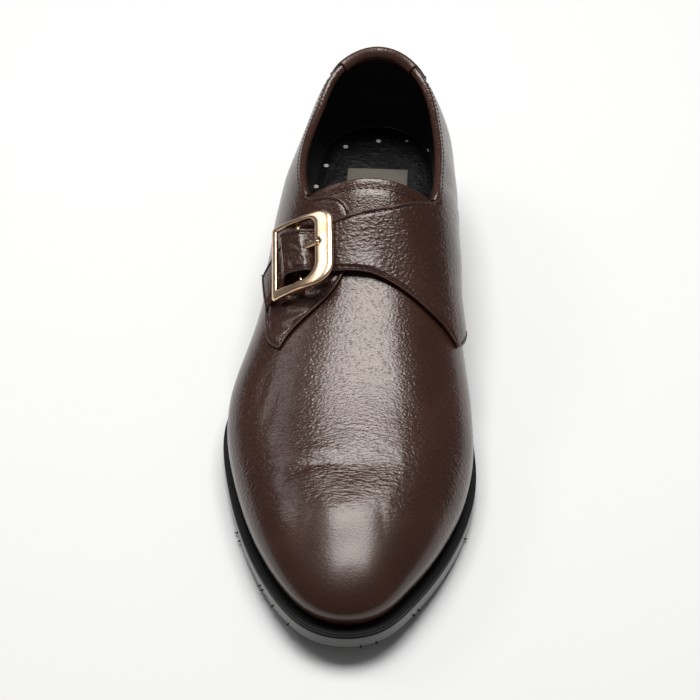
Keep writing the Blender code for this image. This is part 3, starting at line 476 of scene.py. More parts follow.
def frame_rise(u, v):
    """The frame is bent along the strap, leans back from its raised front bar, and cants to the heel."""
    return FRAME_CANT * v - FRAME_LEAN * u - u * u / (2 * FRAME_BEND)


PRONG_END = FRAME_UNDER + FRAME_THICKNESS + frame_rise(-PRONG_TIP, PRONG_PLACE) - NOTCH_DEPTH


def buckle_plan(points):
    """Places of points along the strap and across it, from the buckle's middle."""
    away = np.asarray(points, float) - np.array(BUCKLE_AXES.translation)
    return away @ np.array(BUCKLE_AXES.col[0][:3]), away @ np.array(BUCKLE_AXES.col[1][:3])


def strap_height(points):
    """The strap lies on the vamp, steps up onto the outer quarter's ear, and climbs over the centre bar."""
    u, v = buckle_plan(points)
    beside = smooth_step((STRAP_SIDE - np.abs(v)) / (STRAP_SIDE / 4))
    step = smooth_step((u + STEP_START) / (STEP_START - STEP_END))
    flat = np.where(u > 0, RAMP_FLAT_BACK, RAMP_FLAT)
    hump = smooth_step((RAMP_END - np.abs(u)) / (RAMP_END - flat))
    return LAYER_GAP + beside * (step * (STRAP_REST - LAYER_GAP) + hump * STRAP_HUMP)


def strap_thickness(points):
    """The inner quarter is one layer, and the strap is folded."""
    u, v = buckle_plan(points)
    beside = smooth_step((STRAP_SIDE - np.abs(v)) / (STRAP_SIDE / 4))
    folded = beside * smooth_step((u + 2.1 * STEP_START) / STEP_START)
    return QUARTER_THICKNESS + (STRAP_THICKNESS - QUARTER_THICKNESS) * folded


# Mesh work

def refined(count, rim=(0.0, 0.004, 0.009, 0.016, 0.025, 0.035, 0.045, 0.055, 0.066, 0.08)):
    """Shares from 0 to 1, closer together at both ends, where an edge is rounded."""
    rim = np.array(rim)
    return np.concatenate([rim, np.linspace(rim[-1], 1 - rim[-1], count)[1:-1], 1 - rim[::-1]])


def distance_to(points, line):
    """Distance of each point to the nearest point of a line."""
    flat = points.reshape(-1, 3)
    best = np.full(len(flat), np.inf)
    for start in range(0, len(line), 48):
        part = line[None, start:start + 48]
        best = np.minimum(best, np.linalg.norm(flat[:, None] - part, axis=2).min(axis=1))
    return best.reshape(points.shape[:-1])


def soft_line(points, line, width, depth):
    """Soft ridge, or trough where the depth is negative, along a line drawn on the plan in millimetres."""
    line = np.array(line, float) * MM
    plan = np.asarray(points, float)[..., :2]
    best = np.full(plan.shape[:-1], np.inf)
    taper = np.zeros(plan.shape[:-1])
    total = len(line) - 1
    for i in range(total):
        along = line[i + 1] - line[i]
        t = np.clip(((plan - line[i]) @ along) / (along @ along), 0, 1)
        gap = np.linalg.norm(plan - line[i] - t[..., None] * along, axis=-1)
        near = gap < best
        best = np.where(near, gap, best)
        taper = np.where(near, np.sin(math.pi * (0.08 + 0.84 * (i + t) / total)), taper)
    return depth * MM * taper * bell(best, width * MM)


def soft_lines(points, rows):
    return sum(soft_line(points, *row) for row in rows)


SIDES = (np.s_[0], np.s_[-1], np.s_[:, 0], np.s_[:, -1])


def border(points):
    """Points along the four sides of a grid."""
    return np.concatenate([points[side] for side in SIDES])


class Builder:
    """Points and faces of one piece, from grids that share their seams."""

    def __init__(self):
        self.points = []
        self.faces = []
        self.looks = []

    def grid(self, points):
        """Adds a grid of points and returns their numbers."""
        start = sum(len(p) for p in self.points)
        self.points.append(points.reshape(-1, 3))
        return start + np.arange(points.shape[0] * points.shape[1]).reshape(points.shape[:2])

    def quads(self, numbers, look=0):
        a, b, c, d = numbers[:-1, :-1], numbers[:-1, 1:], numbers[1:, 1:], numbers[1:, :-1]
        found = np.stack([a, b, c, d], -1).reshape(-1, 4)
        self.faces += [tuple(int(i) for i in face) for face in found]
        self.looks += [look] * len(found)

    def strip(self, one, other, look=0):
        self.quads(np.stack([one, other]), look)

    def face(self, numbers, look=0):
        self.faces.append(tuple(int(i) for i in numbers))
        self.looks.append(look)

    def tube(self, rings):
        """Joins closed rings one after another."""
        for one, other in zip(rings, rings[1:]):
            self.strip(np.append(one, one[0]), np.append(other, other[0]))

    def cap(self, ring):
        """Closes a ring with strips from one side to the other."""
        count = len(ring)
        for i in range(count // 2):
            corners = [ring[i], ring[i + 1], ring[(count - i - 1) % count], ring[(count - i) % count]]
            self.face([j for n, j in enumerate(corners) if j not in corners[:n]])

    def shell(self, face, back):
        """Closed sheet from the grids of its face and its back."""
        front, rear = self.grid(face), self.grid(back)
        self.quads(front)
        self.quads(rear)
        for side in SIDES:
            self.strip(front[side], rear[side])

    def mesh(self, name, looks, sharp=50):
        """Welds what coincides, turns the faces outwards and gives the materials."""
        mesh = bpy.data.meshes.new(name)
        mesh.from_pydata(np.concatenate(self.points).tolist(), [], self.faces)
        mesh.polygons.foreach_set("material_index", self.looks)
        for look in looks:
            mesh.materials.append(look)
        work = bmesh.new()
        work.from_mesh(mesh)
        bmesh.ops.remove_doubles(work, verts=work.verts, dist=4e-6)
        bmesh.ops.dissolve_degenerate(work, edges=work.edges, dist=4e-6)
        bmesh.ops.recalc_face_normals(work, faces=work.faces)
        work.to_mesh(mesh)
        work.free()
        mesh.shade_smooth()
        mesh.set_sharp_from_angle(angle=math.radians(sharp))
        return mesh

    def piece(self, name, looks, slot, *nodes, sharp=50):
        """Makes the mesh and puts it in the scene."""
        piece(name, self.mesh(name, looks, sharp), slot, *nodes)


def in_scene(name, data):
    made = bpy.data.objects.new(name, data)
    bpy.context.scene.collection.objects.link(made)
    return made


def plain_mesh(source):
    """Mesh that an object's modifiers give. The object itself is removed."""
    bpy.context.view_layer.update()
    found = bpy.data.meshes.new_from_object(source.evaluated_get(bpy.context.evaluated_depsgraph_get()))
    bpy.data.objects.remove(source, do_unlink=True)
    return found


def piece(name, mesh, slot, *nodes):
    """Puts a mesh in the scene as a piece that rides on the shoe and stands for the nodes."""
    made = in_scene(name, mesh)
    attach(made, "root")
    if nodes:
        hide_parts(*nodes)


def rounded(distance, radius):
    """Share of the half thickness at a distance from a rolled edge."""
    near = np.clip(distance / radius, 0, 1)
    return np.sqrt(1 - (1 - near) ** 2)


def closed_sheet(work, base, direction, low, thickness, distance, groove=0.0):
    """Sheet with rolled edges: its face, its back, and strips between them. Returns the face's points."""
    half = thickness / 2
    share = rounded(distance, half)
    face = base + direction * (low + half + half * share + groove)[..., None]
    work.shell(face, base + direction * (low + half - half * share)[..., None])
    return face


def inset_line(rows, distance):
    """Line at a distance in from the start of each row, measured along the row."""
    found = []
    for row in rows:
        length = np.concatenate([[0], np.cumsum(np.linalg.norm(np.diff(row, axis=0), axis=1))])
        found.append([np.interp(distance, length, row[:, k]) for k in range(3)])
    return np.array(found)


# Shader work

class Value:
    """A number in a material. Arithmetic on it adds Math nodes."""

    def __init__(self, paint, socket):
        self.paint = paint
        self.socket = socket

    def __add__(self, other):
        return self.paint.math("ADD", self, other)

    def __sub__(self, other):
        return self.paint.math("SUBTRACT", self, other)

    def __rsub__(self, other):
        return self.paint.math("SUBTRACT", other, self)

    def __mul__(self, other):
        return self.paint.math("MULTIPLY", self, other)

    __radd__ = __add__
    __rmul__ = __mul__


class Paint:
    """One material and the nodes that make it."""

    def __init__(self, name, roughness=0.5, metallic=0.0, coat=0.0, coat_roughness=0.1, specular=0.5):
        self.material = bpy.data.materials.new(name)
        self.material.use_nodes = True
        self.tree = self.material.node_tree
        self.shader = self.tree.nodes["Principled BSDF"]
        for key, value in (("Roughness", roughness), ("Metallic", metallic), ("Coat Weight", coat),
                           ("Coat Roughness", coat_roughness), ("Specular IOR Level", specular)):
            self.shader.inputs[key].default_value = value
        self.place = self.node("ShaderNodeTexCoord").outputs["Object"]

    def node(self, kind, settings=(), inputs=()):
        """Adds a node: its settings first, then the values or links of its sockets."""
        made = self.tree.nodes.new(kind)
        for key, value in dict(settings).items():
            setattr(made, key, value)
        for key, value in dict(inputs).items():
            self.put(made.inputs[key], value)
        return made

    def put(self, socket, value):
        if isinstance(value, Value):
            value = value.socket
        if isinstance(value, bpy.types.NodeSocket):
            self.tree.links.new(value, socket)
        else:
            socket.default_value = value

    def set(self, key, value):
        self.put(self.shader.inputs[key], value)

    def math(self, operation, *values):
        made = self.node("ShaderNodeMath", {"operation": operation}, enumerate(values))
        return Value(self, made.outputs[0])

    def clamp(self, value, low, high):
        """Soft step of a value from 0 at low to 1 at high."""
        made = self.node("ShaderNodeMapRange", {"interpolation_type": "SMOOTHSTEP"},
                         {"Value": value, "From Min": low, "From Max": high})
        return Value(self, made.outputs["Result"])

    def scaled(self, size, place=None):
        """Object coordinates times a size in each direction."""
        made = self.node("ShaderNodeVectorMath", {"operation": "MULTIPLY"}, {0: place or self.place, 1: size})
        return made.outputs[0]

    def bent(self, place, scale, amount):
        """Coordinates pushed about by a noise, for irregular cells."""
        noise = self.node("ShaderNodeTexNoise", (), {"Vector": place, "Scale": scale, "Detail": 2.0})
        push = self.node("ShaderNodeVectorMath", {"operation": "MULTIPLY_ADD"},
                         {0: noise.outputs["Color"], 1: (amount,) * 3, 2: place})
        return push.outputs[0]

    def noise(self, scale, detail=3.0, roughness=0.5, place=None):
        inputs = {"Vector": place or self.place, "Scale": scale, "Detail": detail, "Roughness": roughness}
        made = self.node("ShaderNodeTexNoise", (), inputs)
        return Value(self, made.outputs["Fac"])

    def cells(self, scale, place):
        """Distance to the nearest edge between irregular cells."""
        inputs = {"Vector": place, "Scale": scale}
        made = self.node("ShaderNodeTexVoronoi", {"feature": "DISTANCE_TO_EDGE"}, inputs)
        return Value(self, made.outputs["Distance"])

    def axis(self, name):
        split = self.node("ShaderNodeSeparateXYZ", (), {0: self.place})
        return Value(self, split.outputs[name])

    def mix(self, share, one, other):
        """Colour between two others."""
        made = self.node("ShaderNodeMix", {"data_type": "RGBA"})
        self.put(made.inputs[0], share)
        for socket, colour in ((made.inputs[6], one), (made.inputs[7], other)):
            self.put(socket, (*colour, 1.0) if isinstance(colour, tuple) else colour)
        return made.outputs[2]

    def bump(self, height, distance):
        return self.node("ShaderNodeBump", (), {"Height": height, "Distance": distance}).outputs[0]


BROWN = (0.048, 0.0165, 0.0105)
BROWN_LIGHT = (0.068, 0.0255, 0.017)
# Painted shade: the colour that the leather darkens towards in the creases between its pebbles
CREASE_PAINTED_SHADE = (0.014, 0.005, 0.0035)


def leather_paint(name, grain, depth, toe_fade=False, roughness=0.27, tint=1.0):
    """Brown pebble-grain leather: irregular cells, wrinkles, and painted shade that darkens the creases
    between the cells.
    """
    paint = Paint(name, roughness, coat=0.2, coat_roughness=0.16)
    paint.set("Specular Tint", (1.0, 0.9, 0.82, 1.0))
    place = paint.scaled((0.75, 1.2, 1.0), paint.bent(paint.place, 240.0, 0.0022))
    pebble = paint.clamp(paint.cells(grain, place), 0.0, 0.6)
    wrinkle = paint.noise(grain * 1.25, 1.0, 0.5, place)
    height = pebble * 0.55 + wrinkle * 0.8
    smooth = roughness - 0.05 + paint.noise(90.0, 2.0) * 0.1
    if toe_fade:
        y = paint.axis("Y")
        flex = paint.scaled((0.35, 1.5, 1.0), paint.bent(paint.place, 120.0, 0.004))
        ripple = paint.noise(640.0, 1.0, 0.5, flex)
        bend = paint.clamp(y, -0.114, -0.098) * (1 - paint.clamp(y, -0.075, -0.05))
        toe = paint.clamp(y, -0.118, -0.060)
        height = height * (0.22 + toe * 0.78) + ripple * bend * 2.0
        smooth = smooth - 0.02 + (1 - toe) * 0.04
    broad = paint.noise(38.0, 2.0)
    colour = paint.mix(paint.clamp(broad, 0.3, 0.75), tuple(c * tint for c in BROWN),
                       tuple(c * tint for c in BROWN_LIGHT))
    # Painted shade: the base colour darkens towards the creases between the pebbles, up to 0.45 of the way
    paint.set("Base Color", paint.mix((1 - pebble) * 0.45, colour, CREASE_PAINTED_SHADE))
    paint.set("Roughness", smooth)
    paint.set("Normal", paint.bump(height, depth))
    return paint.material


def lining_paint(name):
    paint = Paint(name, 0.55, specular=0.35)
    pores = paint.clamp(paint.cells(900.0, paint.bent(paint.place, 300.0, 0.001)), 0.0, 0.4)
    soft = paint.noise(60.0, 3.0)
    tone = paint.clamp(soft, 0.3, 0.8)
    paint.set("Base Color", paint.mix(tone, (0.024, 0.024, 0.0245), (0.042, 0.042, 0.0425)))
    paint.set("Roughness", 0.48 + soft * 0.2)
    paint.set("Normal", paint.bump(pores * 0.6 + paint.noise(2400.0) * 0.3, 0.00012))
    return paint.material


def sock_paint():
    """Soft black sheepskin: fine pores and short wrinkles."""
    paint = Paint("sock sheepskin", 0.42, specular=0.26)
    folds = paint.noise(170.0, 4.0, 0.62, paint.bent(paint.place, 60.0, 0.012))
    creases = paint.clamp(paint.math("ABSOLUTE", folds - 0.5), 0.0, 0.22)
    pores = paint.noise(1700.0, 2.0)
    paint.set("Base Color", paint.mix(paint.noise(90.0), (0.003, 0.003, 0.0031), (0.007, 0.007, 0.007)))
    paint.set("Roughness", 0.4 + paint.noise(220.0) * 0.2)
    paint.set("Normal", paint.bump(creases * 0.9 + pores * 0.15, 0.00045))
    return paint.material


def rubber_paint(name, dark, light, roughness, relief, specular):
    """Black rubber with a faint haze of dust and fine mould marks."""
    paint = Paint(name, roughness, coat=max(0.0, specular - 0.4), coat_roughness=0.12, specular=specular)
    haze = paint.clamp(paint.noise(75.0, 5.0, 0.62), 0.42, 0.78)
    paint.set("Base Color", paint.mix(haze, dark, light))
    paint.set("Roughness", roughness - 0.05 + haze * 0.2)
    paint.set("Normal", paint.bump(paint.noise(900.0, 3.0), relief))
    return paint.material


def brass_paint(name, roughness=0.2):
    """Rose gold plate: fine rub marks along the bars and a few softer patches."""
    paint = Paint(name, roughness, metallic=1.0)
    rub = paint.noise(700.0, 3.0, 0.6, paint.scaled((1.0, 0.12, 1.0)))
    patch = paint.noise(160.0, 3.0)
    paint.set("Base Color", paint.mix(paint.clamp(patch, 0.3, 0.8), (0.93, 0.70, 0.50), (0.80, 0.54, 0.34)))
    paint.set("Roughness", roughness - 0.04 + rub * 0.09 + patch * 0.06)
    paint.set("Normal", paint.bump(rub, 0.00002))
    return paint.material


def plain_paint(name, one, other, scale, roughness, relief, specular=0.4):
    """Cloth, thread or paper: two tones of one colour with a fine relief."""
    paint = Paint(name, roughness, specular=specular)
    grain = paint.noise(scale, 4.0, 0.6)
    paint.set("Base Color", paint.mix(grain, one, other))
    paint.set("Normal", paint.bump(grain, relief))
    return paint.material


vamp_leather = leather_paint("vamp leather", 680.0, 0.00015, toe_fade=True)
strap_leather = leather_paint("strap leather", 500.0, 0.00024)
quarter_leather = leather_paint("quarter leather", 620.0, 0.00018)
# Painted highlight: the rolled edges get a copy of the brown leather 1.6 times lighter, standing in for the
# light along them
rolled_leather_painted_highlight = leather_paint("rolled edge leather painted highlight", 1000.0, 0.00008, roughness=0.33, tint=1.6)
binding_leather = leather_paint("binding leather", 1000.0, 0.00012, roughness=0.36, tint=1.15)
lining_leather = lining_paint("lining leather")
sock_leather = sock_paint()
welt_rubber = rubber_paint("welt rubber", (0.005, 0.005, 0.0052), (0.010, 0.010, 0.0102), 0.62, 0.00006, 0.25)
sole_rubber = rubber_paint("sole rubber", (0.009, 0.009, 0.008), (0.032, 0.031, 0.027), 0.2, 0.00003, 0.7)
brass = brass_paint("rose gold plate")
thread = plain_paint("dark thread", (0.006, 0.003, 0.002), (0.02, 0.011, 0.008), 3000.0, 0.6, 0.00008)
label_cloth = plain_paint("grey label cloth", (0.095, 0.085, 0.068), (0.15, 0.135, 0.11), 1500.0, 0.7,
                          0.00008)
hole_white = plain_paint("white foam", (0.78, 0.78, 0.74), (0.9, 0.9, 0.87), 800.0, 0.6, 0.00005)
loop_cloth = plain_paint("black elastic", (0.006, 0.006, 0.006), (0.02, 0.019, 0.018), 1400.0, 0.7, 0.0002)


# Geometry Nodes

def node_tree(name, numbers):
    """Empty geometry tree with named number inputs and a material input."""
    tree = bpy.data.node_groups.new(name, "GeometryNodeTree")
    tree.interface.new_socket("Geometry", in_out="INPUT", socket_type="NodeSocketGeometry")
    tree.interface.new_socket("Geometry", in_out="OUTPUT", socket_type="NodeSocketGeometry")
    for label in numbers:
        tree.interface.new_socket(label, in_out="INPUT", socket_type="NodeSocketFloat")
    tree.interface.new_socket("Material", in_out="INPUT", socket_type="NodeSocketMaterial")
    return tree


def wire(tree, kind, settings=(), inputs=()):
    made = tree.nodes.new(kind)
    for key, value in dict(settings).items():
        setattr(made, key, value)
    for key, value in dict(inputs).items():
        if isinstance(value, bpy.types.NodeSocket):
            tree.links.new(value, made.inputs[key])
        else:
            made.inputs[key].default_value = value
    return made


def studded(tree, given, places, segments, rings, height):
    """Ends a tree: a rounded stud at each place, made real, smooth and given the material."""
    ball = wire(tree, "GeometryNodeMeshUVSphere", (), {"Segments": segments, "Rings": rings, "Radius": 1.0})
    radius = given.outputs["Radius"]
    size = wire(tree, "ShaderNodeCombineXYZ", (), {0: radius, 1: radius, 2: height})
    inputs = {"Instance": ball.outputs["Mesh"], "Scale": size.outputs[0], **places}
    laid = wire(tree, "GeometryNodeInstanceOnPoints", (), inputs)
    real = wire(tree, "GeometryNodeRealizeInstances", (), {"Geometry": laid.outputs["Instances"]})
    shaded = wire(tree, "GeometryNodeSetShadeSmooth", (), {"Geometry": real.outputs["Geometry"]})
    dressed = wire(tree, "GeometryNodeSetMaterial", (),
                   {"Geometry": shaded.outputs["Geometry"], "Material": given.outputs["Material"]})
    wire(tree, "NodeGroupOutput", (), {"Geometry": dressed.outputs["Geometry"]})
    return tree


def stitch_tree():
    """Lays a rounded stitch at every spacing along the lines."""
    tree = node_tree("stitch row", ("Spacing", "Length", "Radius"))
    given = wire(tree, "NodeGroupInput")
    line = wire(tree, "GeometryNodeMeshToCurve", (), {"Mesh": given.outputs["Geometry"]})
    spots = wire(tree, "GeometryNodeCurveToPoints", {"mode": "LENGTH"},
                 {"Curve": line.outputs["Curve"], "Length": given.outputs["Spacing"]})
    turned = wire(tree, "FunctionNodeAlignRotationToVector", {"axis": "Z"},
                  {"Vector": spots.outputs["Tangent"]})
    half = wire(tree, "ShaderNodeMath", {"operation": "DIVIDE"}, {0: given.outputs["Length"], 1: 2.0})
    places = {"Points": spots.outputs["Points"], "Rotation": turned.outputs["Rotation"]}
    return studded(tree, given, places, 8, 6, half.outputs[0])


def perforation_tree():
    """Lays a shallow round stud at every point."""
    tree = node_tree("perforation", ("Radius", "Height"))
    given = wire(tree, "NodeGroupInput")
    return studded(tree, given, {"Points": given.outputs["Geometry"]}, 16, 8, given.outputs["Height"])


def grown(name, tree, points, edges, numbers, look, slot):
    """Runs a geometry tree on points and edges and keeps the plain mesh that it gives."""
    mesh = bpy.data.meshes.new(name + "_path")
    mesh.from_pydata([tuple(map(float, p)) for p in points], edges, [])
    source = in_scene(name + "_path", mesh)
    step = source.modifiers.new("grow", "NODES")
    step.node_group = tree
    sockets = {item.name: item.identifier for item in tree.interface.items_tree if item.in_out == "INPUT"}
    for label, value in numbers.items():
        step[sockets[label]] = value
    step[sockets["Material"]] = look
    result = plain_mesh(source)
    result.name = name
    piece(name, result, slot)


# Sole

def ring_plate(name, angles, top, head, foot, base, look, slot, node):
    """Layer of the sole from rings of its outline, at drops below the feather plane."""
    work = Builder()
    rings = []
    for level, table in ((top, head), (base, foot)):
        for inset, drop in table:
            x, y = sole_edge(angles, inset * MM)
            z = feather_z(y) - level - drop * MM
            rings.append(work.grid(np.stack([x, y, z], -1)[None])[0])
    work.tube(rings)
    work.cap(rings[0])
    work.cap(rings[-1])
    work.piece(name, [look], slot, node, sharp=35)


def make_sole():
    """The welt and the outsole, with the heel under them and the mould's flash round them."""
    angles = np.arange(480) * 0.75
    foot = GAP + WELT_THICKNESS
    ring_plate("welt_strip", angles, GAP, WELT_HEAD, WELT_FOOT, foot, welt_rubber, "welt", "welt")
    top = foot + GAP
    tread = top + OUTSOLE_THICKNESS
    ring_plate("outsole_unit", angles, top, OUTSOLE_HEAD, OUTSOLE_FOOT, tread, sole_rubber, "sole_rubber",
               "outsole")
    make_heel()
    make_flash(angles, tread)


def make_flash(angles, tread):
    """Flecks of rubber that the mould left along the sole's foot."""
    x, y = sole_edge(angles, 0.1 * MM)
    edge = np.stack([x, y, feather_z(y) - tread + FLASH_RADIUS], -1)
    work = Builder()
    for spot in FLASH:
        near = int(np.argmin(np.hypot(edge[:, 0] - spot[0] * MM, edge[:, 1] - spot[1] * MM)))
        run = edge[(near + 1) % len(edge)] - edge[near - 1]
        out = np.array([run[1], -run[0], 0.0]) / np.hypot(run[0], run[1])
        out *= 1.0 if out[:2] @ (edge[near][:2] - FOREFOOT_MIDDLE) > 0 else -1.0
        start = edge[near] - out * 0.4 * MM
        steps = ((0, 0), (0.9, 0.2), (1.3, 0.4))
        path = [start + out * reach * MM + [0, 0, rise * MM] for reach, rise in steps]
        rod(work, path, [FLASH_RADIUS * share for share in (1.0, 0.8, 0.3)], 10)
    work.piece("sole_flash", [sole_rubber], "sole_rubber")


def make_heel():
    """The heel block: stacked lifts with fine grooves between them, and a hollow breast."""
    side = np.linspace(HEEL_BREAST_ANGLE, 180, 61)
    angles = np.concatenate([side, -side[::-1][1:]])
    span = np.linspace(-1, 1, 41)[1:-1]
    work = Builder()
    rings = []
    for share, groove in HEEL_SIDE:
        inset = HEEL_INSET + HEEL_TAPER * share + groove * MM
        x, y = sole_edge(angles, inset)
        front_x = (x[0] + x[-1]) / 2 + (x[0] - x[-1]) / 2 * span
        front_y = (y[0] + y[-1]) / 2 + (y[0] - y[-1]) / 2 * span + BREAST_HOLLOW * (1 - span**2)
        half = len(span) // 2
        x = np.concatenate([front_x[half:], x, front_x[:half]])
        y = np.concatenate([front_y[half:], y, front_y[:half]])
        top = feather_z(y) - SOLE_STACK - GAP * 0.1
        rings.append(work.grid(np.stack([x, y, top * (1 - share)], -1)[None])[0])
    work.tube(rings)
    work.cap(rings[0])
    work.cap(rings[-1])
    work.piece("heel_block", [sole_rubber], "sole_rubber", "heel", sharp=30)


def inside_ring(angles, lift):
    """Ring inside the upper's wall, at a height above the feather plane."""
    depth = -(UPPER_WALL + INSOLE_EASE)

    def is_short(climb):
        point = skin(angles, climb, depth)
        return point[:, 2] < feather_z(point[:, 1]) + lift

    point = skin(angles, halved(is_short, np.zeros(angles.shape), np.full(angles.shape, 0.9)), depth)
    point[:, 2] = feather_z(point[:, 1]) + lift
    return point


def sock_relief(points):
    """Slow unevenness of the sock, and the pull marks beside the label."""
    x, y = points[..., 0] / MM, points[..., 1] / MM
    slow = 0.22 * np.sin(x / 7.1 + 1.3) * np.sin(y / 11.0) + 0.15 * np.sin((x + y) / 4.3)
    return slow * MM + soft_lines(points, SOCK_PULLS)


def make_sock():
    """The sock over its board, with its edge pressed down against the lining."""
    size = np.linspace(0, 180, 150)
    inner = inside_ring(size, INSOLE_THICKNESS)
    outer = inside_ring(-size, INSOLE_THICKNESS)
    share = np.linspace(0, 1, 61)
    top = inner[:, None] * (1 - share[None, :, None]) + outer[:, None] * share[None, :, None]
    top[..., 2] = feather_z(top[..., 1]) + INSOLE_THICKNESS
    rim = np.concatenate([inner, outer])
    distance = distance_to(top, rim)
    top[..., 2] += sock_relief(top) * smooth_step(distance / (4 * MM)) - 0.9 * MM * bell(distance, 2.2 * MM)
    low = top.copy()
    low[..., 2] = feather_z(low[..., 1]) + 0.2 * MM
    work = Builder()
    work.shell(top, low)
    work.piece("sock", [sock_leather], "sock", "insole")


def make_label():
    """Bare grey label, laid on the sock's unevenness."""
    x, y = np.meshgrid(np.linspace(*LABEL_ACROSS, 30) * MM, np.linspace(*LABEL_ALONG, 18) * MM)
    base = np.stack([x, y, np.zeros(x.shape)], -1)
    base[..., 2] = feather_z(y) + INSOLE_THICKNESS + sock_relief(base) * 0.8
    up = np.zeros(base.shape)
    up[..., 2] = 1.0
    work = Builder()
    thickness = np.full(x.shape, LABEL_THICKNESS)
    closed_sheet(work, base, up, LABEL_LIFT, thickness, distance_to(base, border(base)))
    work.piece("sock_label", [label_cloth], "sock")


def make_perforations(name, spots, radius):
    """Holes through the sock, filled by the white foam under it."""
    x, y = np.array(spots).T * MM
    places = np.stack([x, y, feather_z(y) + INSOLE_THICKNESS], -1)
    places[:, 2] += sock_relief(places) + 0.05 * MM
    numbers = {"Radius": radius, "Height": PERFORATION_HEIGHT}
    grown(name, perforation_tree(), places, [], numbers, hole_white, "sock")


# Upper

def vamp_relief(points):
    """Wear of the vamp: its creases over a slow unevenness."""
    x, y = points[..., 0] / MM, points[..., 1] / MM
    slow = 0.10 * MM * np.sin(x / 8.3 + y / 13.0) * np.sin(y / 9.1 + 0.7)
    return slow + soft_lines(points, VAMP_CREASES)


def make_vamp():
    """Vamp and tongue in one sheet, rolled over at the tongue's top edge, with its lining behind."""
    sizes = np.concatenate([np.linspace(0, 60, 70), np.linspace(60, THROAT_ANGLE - 0.6, 95)[1:]])
    reach = np.linspace(1, -1, 185)
    size, across = np.meshgrid(sizes, reach, indexing="ij")
    angle = np.where(across < 0, -1, 1) * size
    climb = 1 - np.abs(across)
    base = skin(angle, climb)
    normal = outward(angle, climb)
    free = 1 - smooth_step((size - WEAR_END) / WEAR_SPAN)
    heights = vamp_relief(base) * free
    heights = heights - TONGUE_SEAM_DEPTH * bell(size - TONGUE_ROW_ANGLE, TONGUE_SEAM_WIDTH)
    face = base + normal * heights[..., None]
    back = base - normal * VAMP_THICKNESS
    radius = VAMP_THICKNESS / 2
    rows = []
    up = unit(base[-1] - base[-2])
    for turn in np.radians(np.linspace(0, 180, 11)[1:-1]):
        rows.append(base[-1] + radius * (up * math.sin(turn) - normal[-1] * (1 - math.cos(turn))))
    work = Builder()
    front = work.grid(np.concatenate([face, np.array(rows)]))
    rear = work.grid(back)
    work.quads(front, 0)
    work.quads(rear, 1)
    work.strip(front[-1], rear[-1], 0)
    for column in (0, -1):
        work.strip(front[:len(sizes), column], rear[:, column], 1)
        work.face([rear[-1, column], *front[len(sizes) - 1:, column]], 1)
    work.piece("vamp_and_tongue", [vamp_leather, lining_leather], "upper_leather", "upper")
    line = np.abs(reach) < TONGUE_ROW_REACH
    return face[np.argmin(np.abs(sizes - TONGUE_ROW_ANGLE)), line] + normal[-1, line] * 0.1 * MM


def make_lining():
    """Black lining of the quarters, with its centre-back seam."""
    sizes = np.linspace(LINING_START, 360 - LINING_START, 190)
    share = np.linspace(0, 1, 40)
    ends = rib_end(sizes)
    angle = np.repeat(sizes[:, None], len(share), 1)
    climb = SEAT_CLIMB + (ends[:, None] - SEAT_CLIMB) * share[None]
    base = skin(angle, climb)
    normal = outward(angle, climb)
    seam = np.abs(angle - 180)
    raised = SEAM_RIDGE * bell(seam, SEAM_RIDGE_WIDTH) - SEAM_GROOVE * bell(seam, SEAM_GROOVE_WIDTH)
    x, y, z = (base[..., k] / MM for k in range(3))
    soft = 0.12 * MM * np.sin(x / 9 + z / 5) * np.sin(y / 7 + z / 11)
    work = Builder()
    work.shell(base - normal * (UPPER_WALL + 0.1 * MM + raised + soft)[..., None], base - normal * 0.3 * MM)
    work.piece("quarter_lining", [lining_leather], "upper_leather", "upper")


def strap_relief(points):
    """Pull marks that fan out from the prong's hole, and streaks low in the buckle's window."""
    u, v = buckle_plan(points)
    u, v = u / MM, v / MM
    away = np.hypot(u + 3.0, v)
    turn = np.arctan2(v, u + 3.0)
    fan = np.sin(7 * turn + 0.9 * np.sin(away / 1.7)) * smooth_step((away - 1.2) / 1.5) * bell(away, 6.5)
    low = np.sin(u * 1.9 + v * 0.5 + np.sin(v / 1.3)) * smooth_step((v - 3) / 4) * np.exp(-((u - 1) / 7) ** 4)
    slow = np.sin(points[..., 0] / (6.3 * MM) + points[..., 1] / (5.1 * MM))
    return (0.22 * fan + 0.12 * low * (np.abs(v) < 16) + 0.10 * slow) * MM


def outer_relief(points):
    """Folds that hang from the buckle, down the outer quarter."""
    y, z = points[..., 1] / MM, points[..., 2] / MM
    window = smooth_step((z - 24) / 12) * (1 - smooth_step((z - 62) / 8))
    folds = np.sin((y + z * 0.22) / 1.15 + np.sin(z / 6.0)) * window * bell(y + 2 - (z - 45) * 0.25, 17)
    return (0.5 * folds + 0.10 * np.sin(y / 6.0 + z / 4.0)) * MM


def inner_relief(points):
    """The strap's relief, and a slow wave on the inner quarter below it."""
    x, y, z = (points[..., k] / MM for k in range(3))
    return strap_relief(points) + 0.12 * MM * np.sin(y / 7.0 + z / 5.0) * smooth_step((x - 20) / 20)


def even(value):
    """The same value at every point."""
    return lambda points: np.full(points.shape[:-1], value)


def cord(work, path, ups, radius, sides=14):
    """Thin round cord along a path, for a turned edge. Points that crowd together are thinned out."""
    kept = [0]
    for i in range(1, len(path)):
        if np.linalg.norm(path[i] - path[kept[-1]]) > radius:
            kept.append(i)
    path, ups = path[kept], ups[kept]
    along = unit(np.gradient(path, axis=0))
    side = unit(ups - along * (ups * along).sum(-1, keepdims=True))
    other = np.cross(along, side)
    turn = np.linspace(0, 2 * math.pi, sides, endpoint=False)[None, :, None]
    round_it = side[:, None] * np.cos(turn) + other[:, None] * np.sin(turn)
    numbers = work.grid(path[:, None] + round_it * radius)
    work.quads(np.concatenate([numbers, numbers[:, :1]], 1))
    work.face(numbers[0])
    work.face(numbers[-1])


